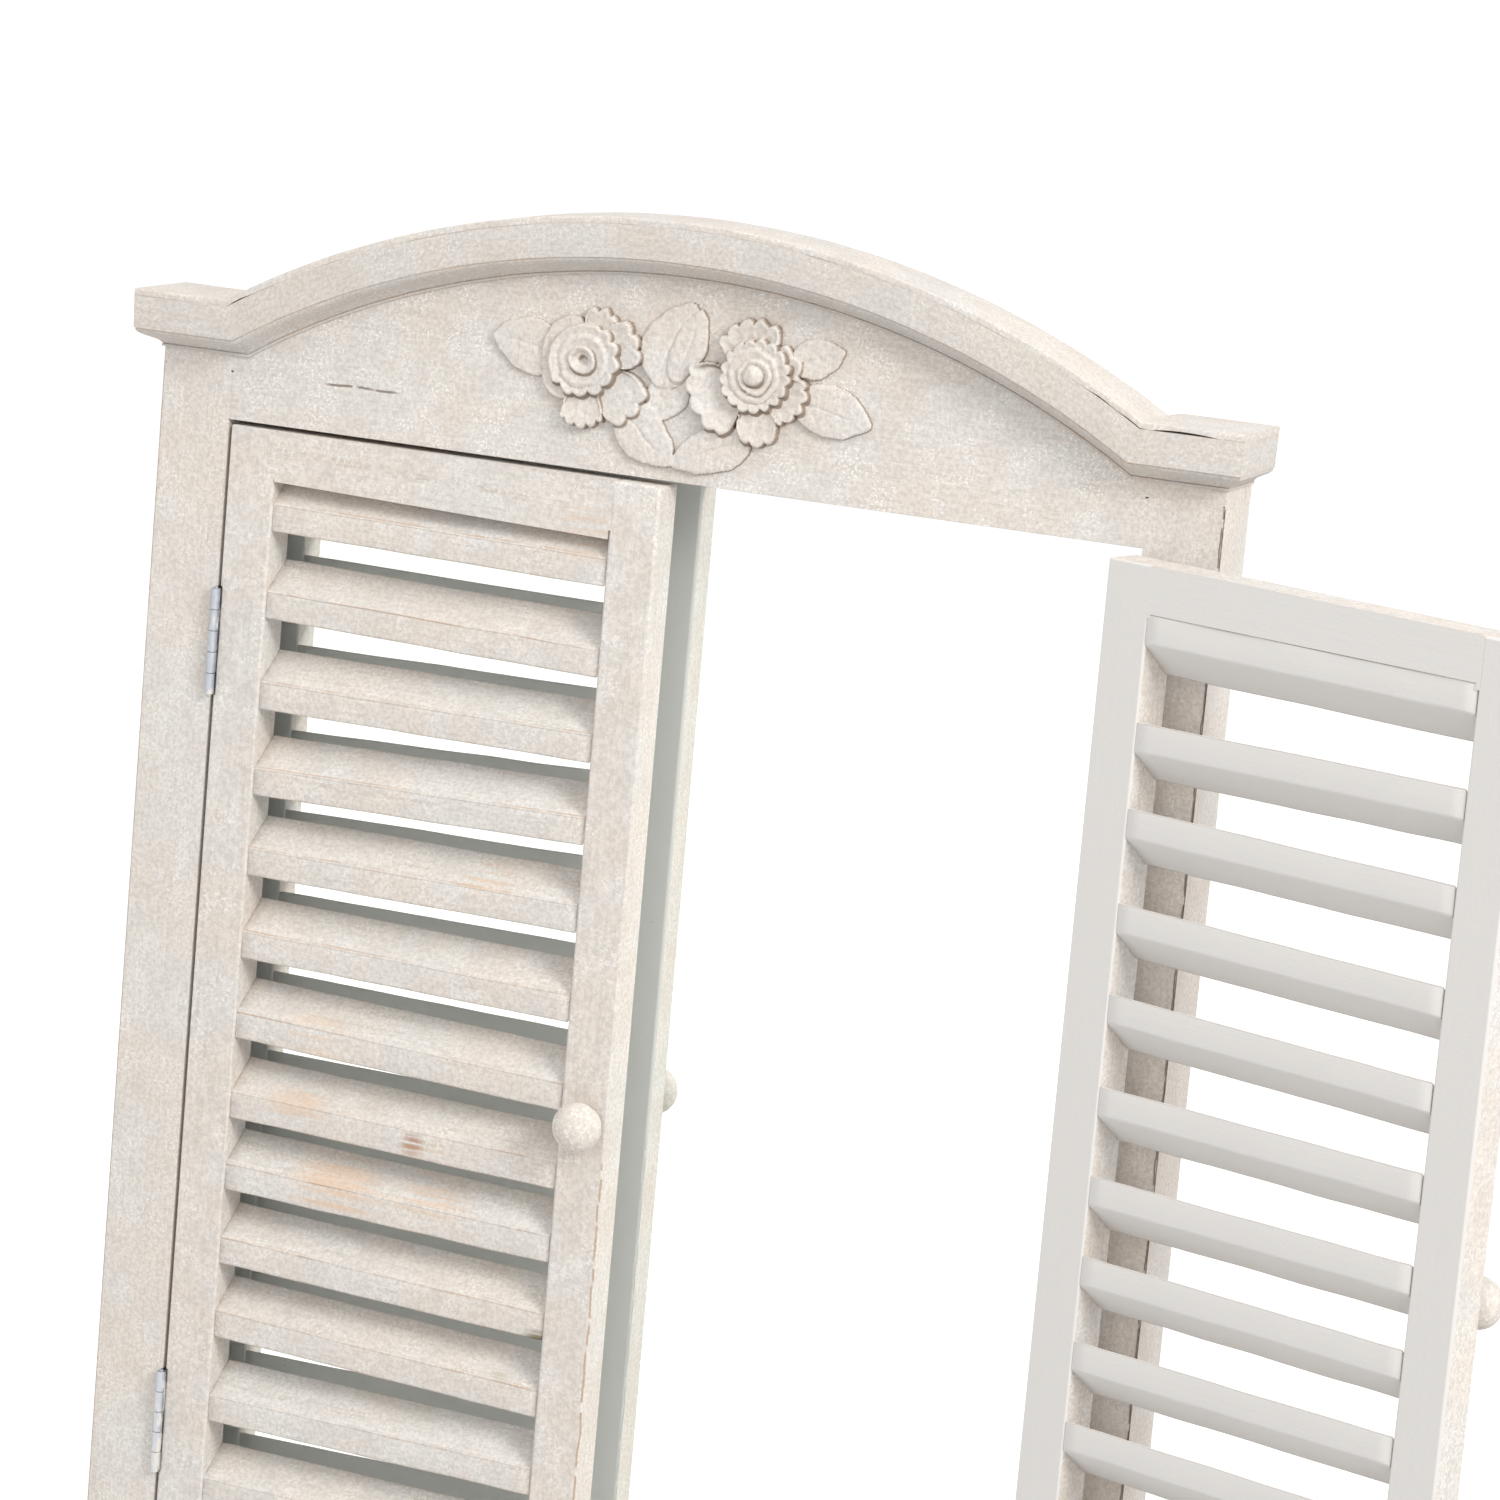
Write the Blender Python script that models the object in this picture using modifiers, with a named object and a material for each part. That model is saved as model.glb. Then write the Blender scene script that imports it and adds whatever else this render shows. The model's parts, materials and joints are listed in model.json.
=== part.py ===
"""Window-style wall mirror: a painted wooden frame with an arched cornice and
two louvred shutters, hung on butt hinges, in front of a mirror glass.

Metres, +Z up.  The origin lies on the back face, in the middle of the opening.
The frame's front looks along -Y and its back, y = 0, goes against the wall.
"""
import math

import bmesh
import bpy
from mathutils import Matrix, Vector

OBJECT_NAME = "shutter_mirror"

# ---- driving dimensions ---------------------------------------------------
GAP = 0.0003                 # clearance between pieces that touch

FRAME_WIDTH = 0.500          # across both posts
FRAME_DEPTH = 0.0343         # front face to wall
OPENING_HEIGHT = 0.572
POST_WIDTH = 0.0345
BOARD_THICKNESS = 0.012      # side boards, and the depth of their mitre
TOP_RAIL_HEIGHT = 0.022
BOTTOM_RAIL_HEIGHT = 0.035

BACK_BOARD_THICKNESS = 0.0045
GLASS_THICKNESS = 0.004

PEDIMENT_BACK = 0.008        # how far the pediment stays clear of the wall
ARCH_CENTRE_DROP = 0.3065    # arch centre, below the top of the opening
ARCH_RADIUS = 0.3943         # lower line of the moulding on the board
FLAT_RISE = 0.029            # lower line of the flat ends, above the opening
MOULDING_HEIGHT = 0.0225
MOULDING_PROJECTION = 0.0145 # in front of the board
RETURN_PROJECTION = 0.0094   # beyond the posts' outer faces
CAP_THICKNESS = 0.0027
CAP_BACK = 0.0125            # back edge of the cap, off the wall
ARCH_STATIONS = 24           # steps along the arch

SHUTTER_WIDTH = 0.2128
SHUTTER_THICKNESS = 0.018
SHUTTER_CLEARANCE = 0.0021   # above and below a shutter
HINGE_SIDE_GAP = 0.0015
STILE_WIDTH = 0.0232
LOUVRE_INSET = 0.0014        # slat faces, behind the stiles' front faces
LOUVRE_BACK_INSET = 0.0003   # slat faces, ahead of the stiles' back faces
SLAT_FACET = 0.0131          # upright face of a slat's edge
SLAT_RISE = 0.0132           # from a slat's front edge to its back edge
# Lower front edge of each slat, in millimetres below the top of the opening, at
# its hinge end and its free end.  The slats were spaced and nailed by eye.
SLAT_DROPS_MM = {
    "left": (
        (48, 49.5), (87.5, 90), (129, 128), (168.5, 165), (205.5, 204.5), (244, 245), (281.5, 285.5),
        (319, 321.5), (353, 355.5), (388, 391.5), (423, 427.5), (463.5, 464), (503.5, 504), (545, 545),
    ),
    "right": (
        (49.3, 48.3), (93.8, 89.8), (130.3, 128.8), (170.8, 170.3), (209.8, 209.3), (249.8, 246.8), (288.8, 284.8),
        (323.8, 320.3), (361.3, 356.8), (396.8, 392.8), (431.8, 427.8), (469.8, 465.8), (507.8, 504.8), (546.8, 546.8),
    ),
}
# Underside of each shutter's top rail at the front, given in the same way.
TOP_RAIL_DROPS_MM = {"left": (25, 28), "right": (26, 26)}

# how far each shutter stands open
REST_ANGLE = {"left": math.radians(1.9), "right": math.radians(159.5)}

HINGE_LENGTH = 0.0485
HINGE_DROPS = (0.1005, 0.4675)           # hinge centres, below the opening's top
BARREL_RADIUS = 0.0021
PIN_RADIUS = 0.0010
PIN_CLEARANCE = 0.00008
AXIS_FORWARD = 0.0024                    # pin axis in front of the faces
LEAF_THICKNESS = 0.0009
LEAF_DEPTH = 0.0145
KNUCKLES = 5

KNOB_RADIUS = 0.0112
KNOB_LENGTH = 0.0195
KNOB_FROM_HINGE = 0.2034
KNOB_LEVEL = {"left": -0.0015, "right": 0.0108}   # from the middle of the opening

# carved roses: centre and half size of the petals and of the heart, as x and
# z above the opening
ROSES = {
    "left": {"petals": (-0.0416, 0.0433, 0.0229, 0.0268), "heart": (-0.0424, 0.0468, 0.0135, 0.0147)},
    "right": {"petals": (0.0312, 0.0469, 0.0249, 0.0259), "heart": (0.0380, 0.0495, 0.0182, 0.0143)},
}
# leaves: root, tip and width
LEAVES = (
    ((-0.060, 0.046), (-0.088, 0.0545), 0.0220),
    ((-0.014, 0.044), (0.005, 0.0762), 0.0270),
    ((0.047, 0.057), (0.0694, 0.0640), 0.0170),
    ((0.054, 0.042), (0.086, 0.0349), 0.0210),
    ((-0.024, 0.028), (-0.0005, 0.0090), 0.0200),
    ((0.027, 0.027), (0.0010, 0.0080), 0.0190),
    ((-0.026, 0.038), (0.016, 0.0390), 0.0220),
)
APPLIQUE_THICKNESS = 0.006
LEAF_THICKNESS_STEP = 0.0001             # keeps neighbouring leaves from sharing a face
HEART_RISE = 0.0028

# ---- derived places -------------------------------------------------------
HALF_WIDTH = FRAME_WIDTH / 2
INNER_X = HALF_WIDTH - POST_WIDTH
FRONT = -FRAME_DEPTH
OPENING_TOP = OPENING_HEIGHT / 2
OPENING_BOTTOM = -OPENING_HEIGHT / 2
FRAME_BOTTOM = OPENING_BOTTOM - BOTTOM_RAIL_HEIGHT
PEDIMENT_BOTTOM = OPENING_TOP + TOP_RAIL_HEIGHT
ARCH_CENTRE = OPENING_TOP - ARCH_CENTRE_DROP
FLAT_LINE = OPENING_TOP + FLAT_RISE
BOARD_INNER_X = HALF_WIDTH - BOARD_THICKNESS
GLASS_BACK = -BACK_BOARD_THICKNESS - GAP
GLASS_FRONT = GLASS_BACK - GLASS_THICKNESS
REBATE = GLASS_FRONT - GAP
AXIS_X = INNER_X - HINGE_SIDE_GAP / 2
AXIS_Y = FRONT - AXIS_FORWARD
SHUTTER_BACK = FRONT + SHUTTER_THICKNESS
SHUTTER_TOP = OPENING_TOP - SHUTTER_CLEARANCE
SHUTTER_BOTTOM = OPENING_BOTTOM + SHUTTER_CLEARANCE

# ---- colours --------------------------------------------------------------
WHITEWASH = (0.70, 0.66, 0.60)
PALE_WOOD = (0.72, 0.70, 0.66)
ZINC = (0.52, 0.54, 0.56)
SILVERED = (0.80, 0.83, 0.83)
HARDBOARD = (0.36, 0.25, 0.16)


def clear_scene():
    for old in list(bpy.data.objects):
        bpy.data.objects.remove(old, do_unlink=True)


def new_collection(name):
    collection = bpy.data.collections.new(name)
    bpy.context.scene.collection.children.link(collection)
    return collection


def material(name, colour, roughness, metallic=0.0):
    shader = bpy.data.materials.new(name)
    shader.use_nodes = True
    bsdf = shader.node_tree.nodes["Principled BSDF"]
    bsdf.inputs["Base Color"].default_value = (*colour, 1.0)
    bsdf.inputs["Roughness"].default_value = roughness
    bsdf.inputs["Metallic"].default_value = metallic
    return shader


def new_object(name, bm, colour, roughness=0.7, metallic=0.0, parent=None, target=None):
    """Turn a bmesh into a named object with a material of its own."""
    mesh = bpy.data.meshes.new(name)
    bmesh.ops.recalc_face_normals(bm, faces=bm.faces)
    bm.to_mesh(mesh)
    bm.free()
    if colour is not None:
        mesh.materials.append(material(name + "_material", colour, roughness, metallic))
    obj = bpy.data.objects.new(name, mesh)
    (target or PARTS).objects.link(obj)
    obj.parent = parent
    return obj


def box(low, high):
    """A box between two corners."""
    bm = bmesh.new()
    size = [b - a for a, b in zip(low, high)]
    centre = [(a + b) / 2 for a, b in zip(low, high)]
    bmesh.ops.create_cube(bm, size=1.0, matrix=Matrix.Translation(centre) @ Matrix.Diagonal((*size, 1.0)))
    return bm


def prism(outline, start, end, plane):
    """An outline extruded from start to end.

    plane "yz": points are (y, z), extruded along X.
    plane "xy": points are (x, y), extruded along Z.
    plane "xz": points are (x, z), extruded along Y.
    """
    place = {
        "yz": lambda p, s: (s, p[0], p[1]),
        "xy": lambda p, s: (p[0], p[1], s),
        "xz": lambda p, s: (p[0], s, p[1]),
    }[plane]
    bm = bmesh.new()
    face = bm.faces.new([bm.verts.new(place(point, start)) for point in outline])
    moved = bmesh.ops.extrude_face_region(bm, geom=[face])["geom"]
    shift = Vector(place((0.0, 0.0), end)) - Vector(place((0.0, 0.0), start))
    bmesh.ops.translate(bm, vec=shift, verts=[v for v in moved if isinstance(v, bmesh.types.BMVert)])
    return bm


def between_ends(sections, ends):
    """A bar lofted between a (y, z) section at each of two places along X."""
    bm = bmesh.new()
    rings = [[bm.verts.new((x, *point)) for point in section] for section, x in zip(sections, ends)]
    for ring in rings:
        bm.faces.new(ring)
    bmesh.ops.bridge_loops(bm, edges=[edge for edge in bm.edges])
    return bm


def soften(obj, width, segments=1):
    """Ease the sharp edges of a wooden piece."""
    bevel = obj.modifiers.new("eased_edges", "BEVEL")
    bevel.width = width
    bevel.segments = segments
    bevel.limit_method = "ANGLE"
    bevel.angle_limit = math.radians(30)


def boolean(obj, other, operation):
    modifier = obj.modifiers.new(operation.lower(), "BOOLEAN")
    modifier.object = other
    modifier.operation = operation
    modifier.solver = "EXACT"


def hide_cutter(cutter):
    cutter.hide_render = True
    cutter.display_type = "WIRE"


def mirror_x(points, side):
    return [(side * x, other) for x, other in points]


# ---- frame ----------------------------------------------------------------
def build_posts():
    """Each post is a face board and a side board, mitred together at the front arris."""
    mitre_gap = GAP / math.sqrt(2) * 2
    face_outline = [
        (INNER_X, FRONT),
        (HALF_WIDTH - mitre_gap, FRONT),
        (BOARD_INNER_X - GAP, FRONT + BOARD_THICKNESS + GAP),
        (BOARD_INNER_X - GAP, REBATE),
        (INNER_X, REBATE),
    ]
    side_outline = [
        (HALF_WIDTH, FRONT),
        (HALF_WIDTH, 0.0),
        (BOARD_INNER_X, 0.0),
        (BOARD_INNER_X, FRONT + BOARD_THICKNESS),
    ]
    for name, side in (("left", -1), ("right", 1)):
        for piece, outline in (("face_board", face_outline), ("side_board", side_outline)):
            post = new_object(
                f"{name}_post_{piece}",
                prism(mirror_x(outline, side), FRAME_BOTTOM, PEDIMENT_BOTTOM - GAP, "xy"),
                WHITEWASH,
            )
            if piece == "face_board":
                for drop in HINGE_DROPS:
                    boolean(post, leaf_mortise(f"{name}_post", side, drop, into_post=True), "DIFFERENCE")


def build_rails():
    """Top and bottom rails of the frame, between the posts."""
    edge = INNER_X - GAP
    new_object(
        "frame_top_rail",
        box((-edge, FRONT, OPENING_TOP), (edge, REBATE, PEDIMENT_BOTTOM - GAP)),
        WHITEWASH,
    )
    glass_bottom = OPENING_BOTTOM - TOP_RAIL_HEIGHT
    sill = [
        (FRONT, OPENING_BOTTOM),
        (FRONT, FRAME_BOTTOM),
        (0.0, FRAME_BOTTOM),
        (0.0, glass_bottom - 2 * GAP),
        (REBATE, glass_bottom - 2 * GAP),
        (REBATE, OPENING_BOTTOM),
    ]
    new_object("frame_bottom_rail", prism(sill, -edge, edge, "yz"), WHITEWASH)


def junction_x(height):
    """Where the flat end meets the arch, at a height above the moulding's lower line."""
    radius = ARCH_RADIUS + height
    rise = FLAT_LINE + height - ARCH_CENTRE
    return math.sqrt(radius * radius - rise * rise)


def crest(height):
    """Points (x, z) of the arched outline from the left junction to the right one."""
    half_angle = math.asin(junction_x(height) / (ARCH_RADIUS + height))
    points = []
    for step in range(ARCH_STATIONS + 1):
        angle = -half_angle + 2 * half_angle * step / ARCH_STATIONS
        points.append((
            (ARCH_RADIUS + height) * math.sin(angle),
            ARCH_CENTRE + (ARCH_RADIUS + height) * math.cos(angle),
        ))
    return points


def build_pediment():
    height = MOULDING_HEIGHT - GAP
    outline = [
        (-HALF_WIDTH, PEDIMENT_BOTTOM),
        (-HALF_WIDTH, FLAT_LINE + height),
        *crest(height),
        (HALF_WIDTH, FLAT_LINE + height),
        (HALF_WIDTH, PEDIMENT_BOTTOM),
    ]
    new_object("pediment_board", prism(outline, FRONT, -PEDIMENT_BACK, "xz"), WHITEWASH)


def moulding_profile():
    """(projection, height) points: a bead, an ogee and the flat fascia above it."""
    deep = MOULDING_PROJECTION
    points = [(GAP, 0.0), (0.0022, 0.0004), (0.0030, 0.0020), (0.0030, 0.0034)]
    for step in range(4):
        turn = math.radians(90) * step / 3
        points.append((0.0036 + 0.0034 * (1 - math.cos(turn)), 0.0036 + 0.0036 * math.sin(turn)))
    points += [(deep, 0.0082), (deep, MOULDING_HEIGHT), (GAP, MOULDING_HEIGHT)]
    return points


def moulding_station(kind, x_sign, projection, height):
    """Where a profile point lands at the mitres of the moulding's path."""
    level = FLAT_LINE + height
    outside = HALF_WIDTH + projection * RETURN_PROJECTION / MOULDING_PROJECTION
    if kind == "return_end":
        return (x_sign * outside, 0.0, level)
    if kind == "corner":
        return (x_sign * outside, FRONT - projection, level)
    return (x_sign * junction_x(height), FRONT - projection, level)


def build_moulding():
    """The cornice moulding: returns, flat ends and arch, lofted as one length."""
    profile = moulding_profile()
    bm = bmesh.new()
    rings = []

    def ring(place):
        rings.append([bm.verts.new(place(projection, height)) for projection, height in profile])

    for kind in ("return_end", "corner"):
        ring(lambda p, h, k=kind: moulding_station(k, -1, p, h))
    for step in range(ARCH_STATIONS + 1):
        def arch_point(projection, height, share=step / ARCH_STATIONS):
            half_angle = math.asin(junction_x(height) / (ARCH_RADIUS + height))
            angle = -half_angle + 2 * half_angle * share
            radius = ARCH_RADIUS + height
            return (radius * math.sin(angle), FRONT - projection, ARCH_CENTRE + radius * math.cos(angle))
        ring(arch_point)
    for kind in ("corner", "return_end"):
        ring(lambda p, h, k=kind: moulding_station(k, 1, p, h))

    for first, second in zip(rings, rings[1:]):
        for i in range(len(profile)):
            j = (i + 1) % len(profile)
            bm.faces.new((first[i], first[j], second[j], second[i]))
    bm.faces.new(rings[0])
    bm.faces.new(list(reversed(rings[-1])))
    new_object("cornice_moulding", bm, WHITEWASH)


def build_cap():
    """A thin lath bent over the top of the pediment and the moulding."""
    low = MOULDING_HEIGHT + GAP
    high = low + CAP_THICKNESS
    outside = HALF_WIDTH + RETURN_PROJECTION
    outline = [
        (-outside, FLAT_LINE + high),
        *crest(high),
        (outside, FLAT_LINE + high),
        (outside, FLAT_LINE + low),
        *reversed(crest(low)),
        (-outside, FLAT_LINE + low),
    ]
    front = FRONT - MOULDING_PROJECTION
    new_object("cornice_cap", prism(outline, front, -CAP_BACK, "xz"), PALE_WOOD)


def build_backing():
    """Mirror glass and the board behind it, held in the frame's rebate."""
    edge = BOARD_INNER_X - GAP
    low = OPENING_BOTTOM - TOP_RAIL_HEIGHT
    high = PEDIMENT_BOTTOM - GAP
    new_object("mirror_glass", box((-edge, GLASS_FRONT, low), (edge, GLASS_BACK, high)), SILVERED, 0.03, 1.0)
    new_object("back_board", box((-edge, -BACK_BOARD_THICKNESS, low), (edge, 0.0, high)), HARDBOARD, 0.8)


def build_hangers():
    """Strap plates for hanging, in the recess behind the pediment."""
    for name, side in (("left", -1), ("right", 1)):
        middle = side * 0.150
        plate = box(
            (middle - 0.007, -PEDIMENT_BACK + GAP, PEDIMENT_BOTTOM + 0.004),
            (middle + 0.007, -PEDIMENT_BACK + GAP + 0.0012, PEDIMENT_BOTTOM + 0.038),
        )
        hanger = new_object(f"{name}_hanger_plate", plate, ZINC, 0.35, 1.0)
        soften(hanger, 0.0003)


# ---- carved applique ------------------------------------------------------
def rose_outline(x, z, half_width, half_height, petals, points_per_petal=4):
    """A scalloped ring of petals."""
    outline = []
    count = petals * points_per_petal
    for step in range(count):
        angle = 2 * math.pi * step / count
        reach = 0.88 + 0.12 * abs(math.sin(angle * petals / 2))
        outline.append((x + half_width * reach * math.cos(angle), z + half_height * reach * math.sin(angle)))
    return outline


def leaf_outline(root, tip, width):
    """A pointed leaf from its root to its tip."""
    along = Vector(tip) - Vector(root)
    across = Vector((-along.y, along.x)).normalized() * width / 2
    left = []
    right = []
    steps = 6
    for step in range(1, steps):
        share = step / steps
        swell = math.sin(math.pi * share ** 0.8)
        middle = Vector(root) + along * share
        left.append(tuple(middle + across * swell))
        right.append(tuple(middle - across * swell))
    return [tuple(root), *right, tuple(tip), *reversed(left)]


def applique_piece(name, outline, thickness, back=FRONT - GAP):
    """One carved piece, as a solid that a union joins to the rest."""
    raised = [(x, OPENING_TOP + z) for x, z in outline]
    piece = new_object(name, prism(raised, back - thickness, back, "xz"), None, target=CUTTERS)
    hide_cutter(piece)
    return piece


def build_applique():
    """Two roses on a spray of leaves, carved as one thin piece."""
    back = FRONT - GAP
    base = [(x, OPENING_TOP + z) for x, z in rose_outline(*ROSES["left"]["petals"], petals=11)]
    roses = new_object("rose_applique", prism(base, back - APPLIQUE_THICKNESS, back, "xz"), WHITEWASH)
    right = rose_outline(*ROSES["right"]["petals"], petals=11)
    boolean(roses, applique_piece("rose_right", right, APPLIQUE_THICKNESS), "UNION")
    for number, (root, tip, width) in enumerate(LEAVES, start=1):
        thickness = APPLIQUE_THICKNESS / 2 + LEAF_THICKNESS_STEP * number
        boolean(roses, applique_piece(f"leaf_{number}", leaf_outline(root, tip, width), thickness), "UNION")
    for name, rose in ROSES.items():
        heart = rose_outline(*rose["heart"], petals=7)
        boolean(roses, applique_piece(f"heart_{name}", heart, APPLIQUE_THICKNESS + HEART_RISE), "UNION")


# ---- shutters -------------------------------------------------------------
def shutter_pivot(name, side):
    """The empty on a shutter's hinge axis.

    A shutter is modelled closed, in world coordinates relative to this empty.
    """
    pivot = bpy.data.objects.new(f"{name}_shutter_axis", None)
    pivot.location = (side * AXIS_X, AXIS_Y, 0.0)
    pivot.rotation_euler.z = side * REST_ANGLE[name]
    PARTS.objects.link(pivot)
    return pivot


def on_shutter(bm, side):
    """Move a piece modelled in the closed place to the axis empty's own frame."""
    bmesh.ops.translate(bm, vec=(-side * AXIS_X, -AXIS_Y, 0.0), verts=bm.verts)
    return bm


def across(side, from_hinge):
    """World X of a distance measured from a closed shutter's hinge edge."""
    return side * (INNER_X - HINGE_SIDE_GAP - from_hinge)


def build_shutter(name, side):
    pivot = shutter_pivot(name, side)

    def add(piece, bm, colour=WHITEWASH, **look):
        return new_object(f"{name}_shutter_{piece}", on_shutter(bm, side), colour, parent=pivot, **look)

    hinge_edge = across(side, 0.0)
    inner_hinge = across(side, STILE_WIDTH)
    inner_free = across(side, SHUTTER_WIDTH - STILE_WIDTH)
    free_edge = across(side, SHUTTER_WIDTH)
    for piece, one, other in (("hinge_stile", hinge_edge, inner_hinge), ("free_stile", inner_free, free_edge)):
        low, high = sorted((one, other))
        stile = add(piece, box((low, FRONT, SHUTTER_BOTTOM), (high, SHUTTER_BACK, SHUTTER_TOP)))
        if piece == "hinge_stile":
            for drop in HINGE_DROPS:
                cutter = leaf_mortise(f"{name}_shutter", side, drop, into_post=False)
                cutter.data.transform(Matrix.Translation((-side * AXIS_X, -AXIS_Y, 0.0)))
                cutter.parent = pivot
                boolean(stile, cutter, "DIFFERENCE")
        soften(stile, 0.0008)

    ends = (inner_hinge - side * GAP, inner_free + side * GAP)
    front = FRONT + LOUVRE_INSET
    back = SHUTTER_BACK - LOUVRE_BACK_INSET
    slats = [[OPENING_TOP - drop / 1000 for drop in pair] for pair in SLAT_DROPS_MM[name]]

    top_rail = []
    for drop, slat in zip(TOP_RAIL_DROPS_MM[name], slats[0]):
        top_rail.append([
            (FRONT, OPENING_TOP - drop / 1000),
            (SHUTTER_BACK, slat + SLAT_FACET + SLAT_RISE + 2 * GAP),
            (SHUTTER_BACK, SHUTTER_TOP),
            (FRONT, SHUTTER_TOP),
        ])
    add("top_rail", between_ends(top_rail, ends))
    rail_top = slats[-1][0] - GAP
    low, high = sorted(ends)
    add("bottom_rail", box((low, FRONT, SHUTTER_BOTTOM), (high, SHUTTER_BACK, rail_top)))

    for number, levels in enumerate(slats, start=1):
        sections = [
            [(front, z), (front, z + SLAT_FACET), (back, z + SLAT_FACET + SLAT_RISE), (back, z + SLAT_RISE)]
            for z in levels
        ]
        slat = add(f"slat_{number:02d}", between_ends(sections, ends))
        soften(slat, 0.0006)

    knob = add("knob", turned_knob(across(side, KNOB_FROM_HINGE), KNOB_LEVEL[name]))
    knob.data.shade_smooth()
    knob.data.set_sharp_from_angle(angle=math.radians(40))
    return pivot


def turned_knob(x, z):
    """A ball knob on a short neck, turned about an axis along -Y."""
    profile = [
        (0.0, 0.0), (0.0066, 0.0), (0.0072, 0.0010), (0.0068, 0.0022),
        (0.0054, 0.0034), (0.0054, 0.0044),
    ]
    ball_centre = KNOB_LENGTH - KNOB_RADIUS * 0.80
    for step in range(9):
        angle = math.radians(-52 + (90 + 52) * step / 8)
        profile.append((
            KNOB_RADIUS * math.cos(angle) if step < 8 else 0.0,
            ball_centre + KNOB_RADIUS * 0.80 * math.sin(angle),
        ))
    bm = bmesh.new()
    verts = [bm.verts.new((radius, 0.0, height)) for radius, height in profile]
    edges = [bm.edges.new(pair) for pair in zip(verts, verts[1:])]
    bmesh.ops.spin(bm, geom=verts + edges, cent=(0, 0, 0), axis=(0, 0, 1), angle=math.tau, steps=20,
                   use_merge=True)
    bmesh.ops.remove_doubles(bm, verts=bm.verts, dist=0.00001)
    turn = Matrix.Rotation(math.radians(90), 4, "X")
    bmesh.ops.transform(bm, matrix=Matrix.Translation((x, FRONT - GAP, z)) @ turn, verts=bm.verts)
    return bm


# ---- hinges ---------------------------------------------------------------
def leaf_mortise(owner, side, drop, into_post):
    """The shallow pocket that a hinge leaf is let into."""
    middle = OPENING_TOP - drop
    half = HINGE_LENGTH / 2 + GAP
    if into_post:
        xs = (side * (INNER_X - 0.002), side * (INNER_X + LEAF_THICKNESS))
    else:
        edge = INNER_X - HINGE_SIDE_GAP
        xs = (side * (edge + 0.002), side * (edge - LEAF_THICKNESS))
    low, high = sorted(xs)
    cutter = new_object(
        f"{owner}_mortise_{round(drop * 1000)}",
        box((low, FRONT - 0.001, middle - half), (high, FRONT + LEAF_DEPTH + GAP, middle + half)),
        None,
        target=CUTTERS,
    )
    hide_cutter(cutter)
    return cutter


def knuckle_ends(number):
    """Height of one knuckle's two ends, from the hinge's middle."""
    pitch = HINGE_LENGTH / KNUCKLES
    low = -HINGE_LENGTH / 2 + number * pitch
    return low + GAP / 2, low + pitch - GAP / 2


def turned_barrel(profile, place):
    """A solid turned about Z from (radius, height) points, bottom to top."""
    bm = bmesh.new()
    verts = [bm.verts.new((radius, 0.0, height)) for radius, height in profile]
    edges = [bm.edges.new(pair) for pair in zip(verts, verts[1:])]
    bmesh.ops.spin(bm, geom=verts + edges, cent=(0, 0, 0), axis=(0, 0, 1), angle=math.tau, steps=16,
                   use_merge=True)
    bmesh.ops.remove_doubles(bm, verts=bm.verts, dist=0.00001)
    bmesh.ops.translate(bm, vec=place, verts=bm.verts)
    return bm


def build_hinge(name, side, level, drop, pivot):
    """One butt hinge: the frame leaf carries the pin, the shutter leaf turns on it."""
    middle = OPENING_TOP - drop
    axis = (side * AXIS_X, AXIS_Y, middle)

    # frame leaf: outer knuckles and the pin in one turned piece, joined to the plate
    profile = [(0.0, knuckle_ends(0)[0] - 0.0008), (PIN_RADIUS, knuckle_ends(0)[0] - 0.0008)]
    for number in range(0, KNUCKLES, 2):
        low, high = knuckle_ends(number)
        profile += [(PIN_RADIUS, low), (BARREL_RADIUS, low), (BARREL_RADIUS, high), (PIN_RADIUS, high)]
    top = knuckle_ends(KNUCKLES - 1)[1] + 0.0008
    profile += [(PIN_RADIUS, top), (0.0, top)]
    fixed = new_object(f"{name}_{level}_hinge_frame_leaf", turned_barrel(profile, axis), ZINC, 0.4, 0.9)
    for number in range(0, KNUCKLES, 2):
        plate = leaf_tab(name, level, side, middle, number, frame_side=True)
        boolean(fixed, plate, "UNION")
    boolean(fixed, leaf_plate(name, level, side, middle, frame_side=True), "UNION")

    # shutter leaf: the two inner knuckles, bored for the pin, joined to its plate
    plate = leaf_plate(name, level, side, middle, frame_side=False)
    shift = Matrix.Translation((-side * AXIS_X, -AXIS_Y, 0.0))
    moving = new_object(
        f"{name}_{level}_hinge_shutter_leaf", on_shutter(mesh_copy(plate), side), ZINC, 0.4, 0.9, parent=pivot,
    )
    bpy.data.objects.remove(plate, do_unlink=True)
    for number in range(1, KNUCKLES, 2):
        low, high = knuckle_ends(number)
        knuckle = new_object(
            f"{name}_{level}_knuckle_{number}",
            turned_barrel([(0.0, low), (BARREL_RADIUS, low), (BARREL_RADIUS, high), (0.0, high)], axis),
            None, target=CUTTERS,
        )
        tab = leaf_tab(name, level, side, middle, number, frame_side=False)
        for extra in (knuckle, tab):
            extra.data.transform(shift)
            extra.parent = pivot
            hide_cutter(extra)
            boolean(moving, extra, "UNION")
    bore_radius = PIN_RADIUS + PIN_CLEARANCE
    reach = HINGE_LENGTH / 2
    bore = new_object(
        f"{name}_{level}_bore",
        turned_barrel([(0.0, -reach), (bore_radius, -reach), (bore_radius, reach), (0.0, reach)], axis),
        None, target=CUTTERS,
    )
    bore.data.transform(shift)
    bore.parent = pivot
    hide_cutter(bore)
    boolean(moving, bore, "DIFFERENCE")


def mesh_copy(obj):
    bm = bmesh.new()
    bm.from_mesh(obj.data)
    return bm


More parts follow.
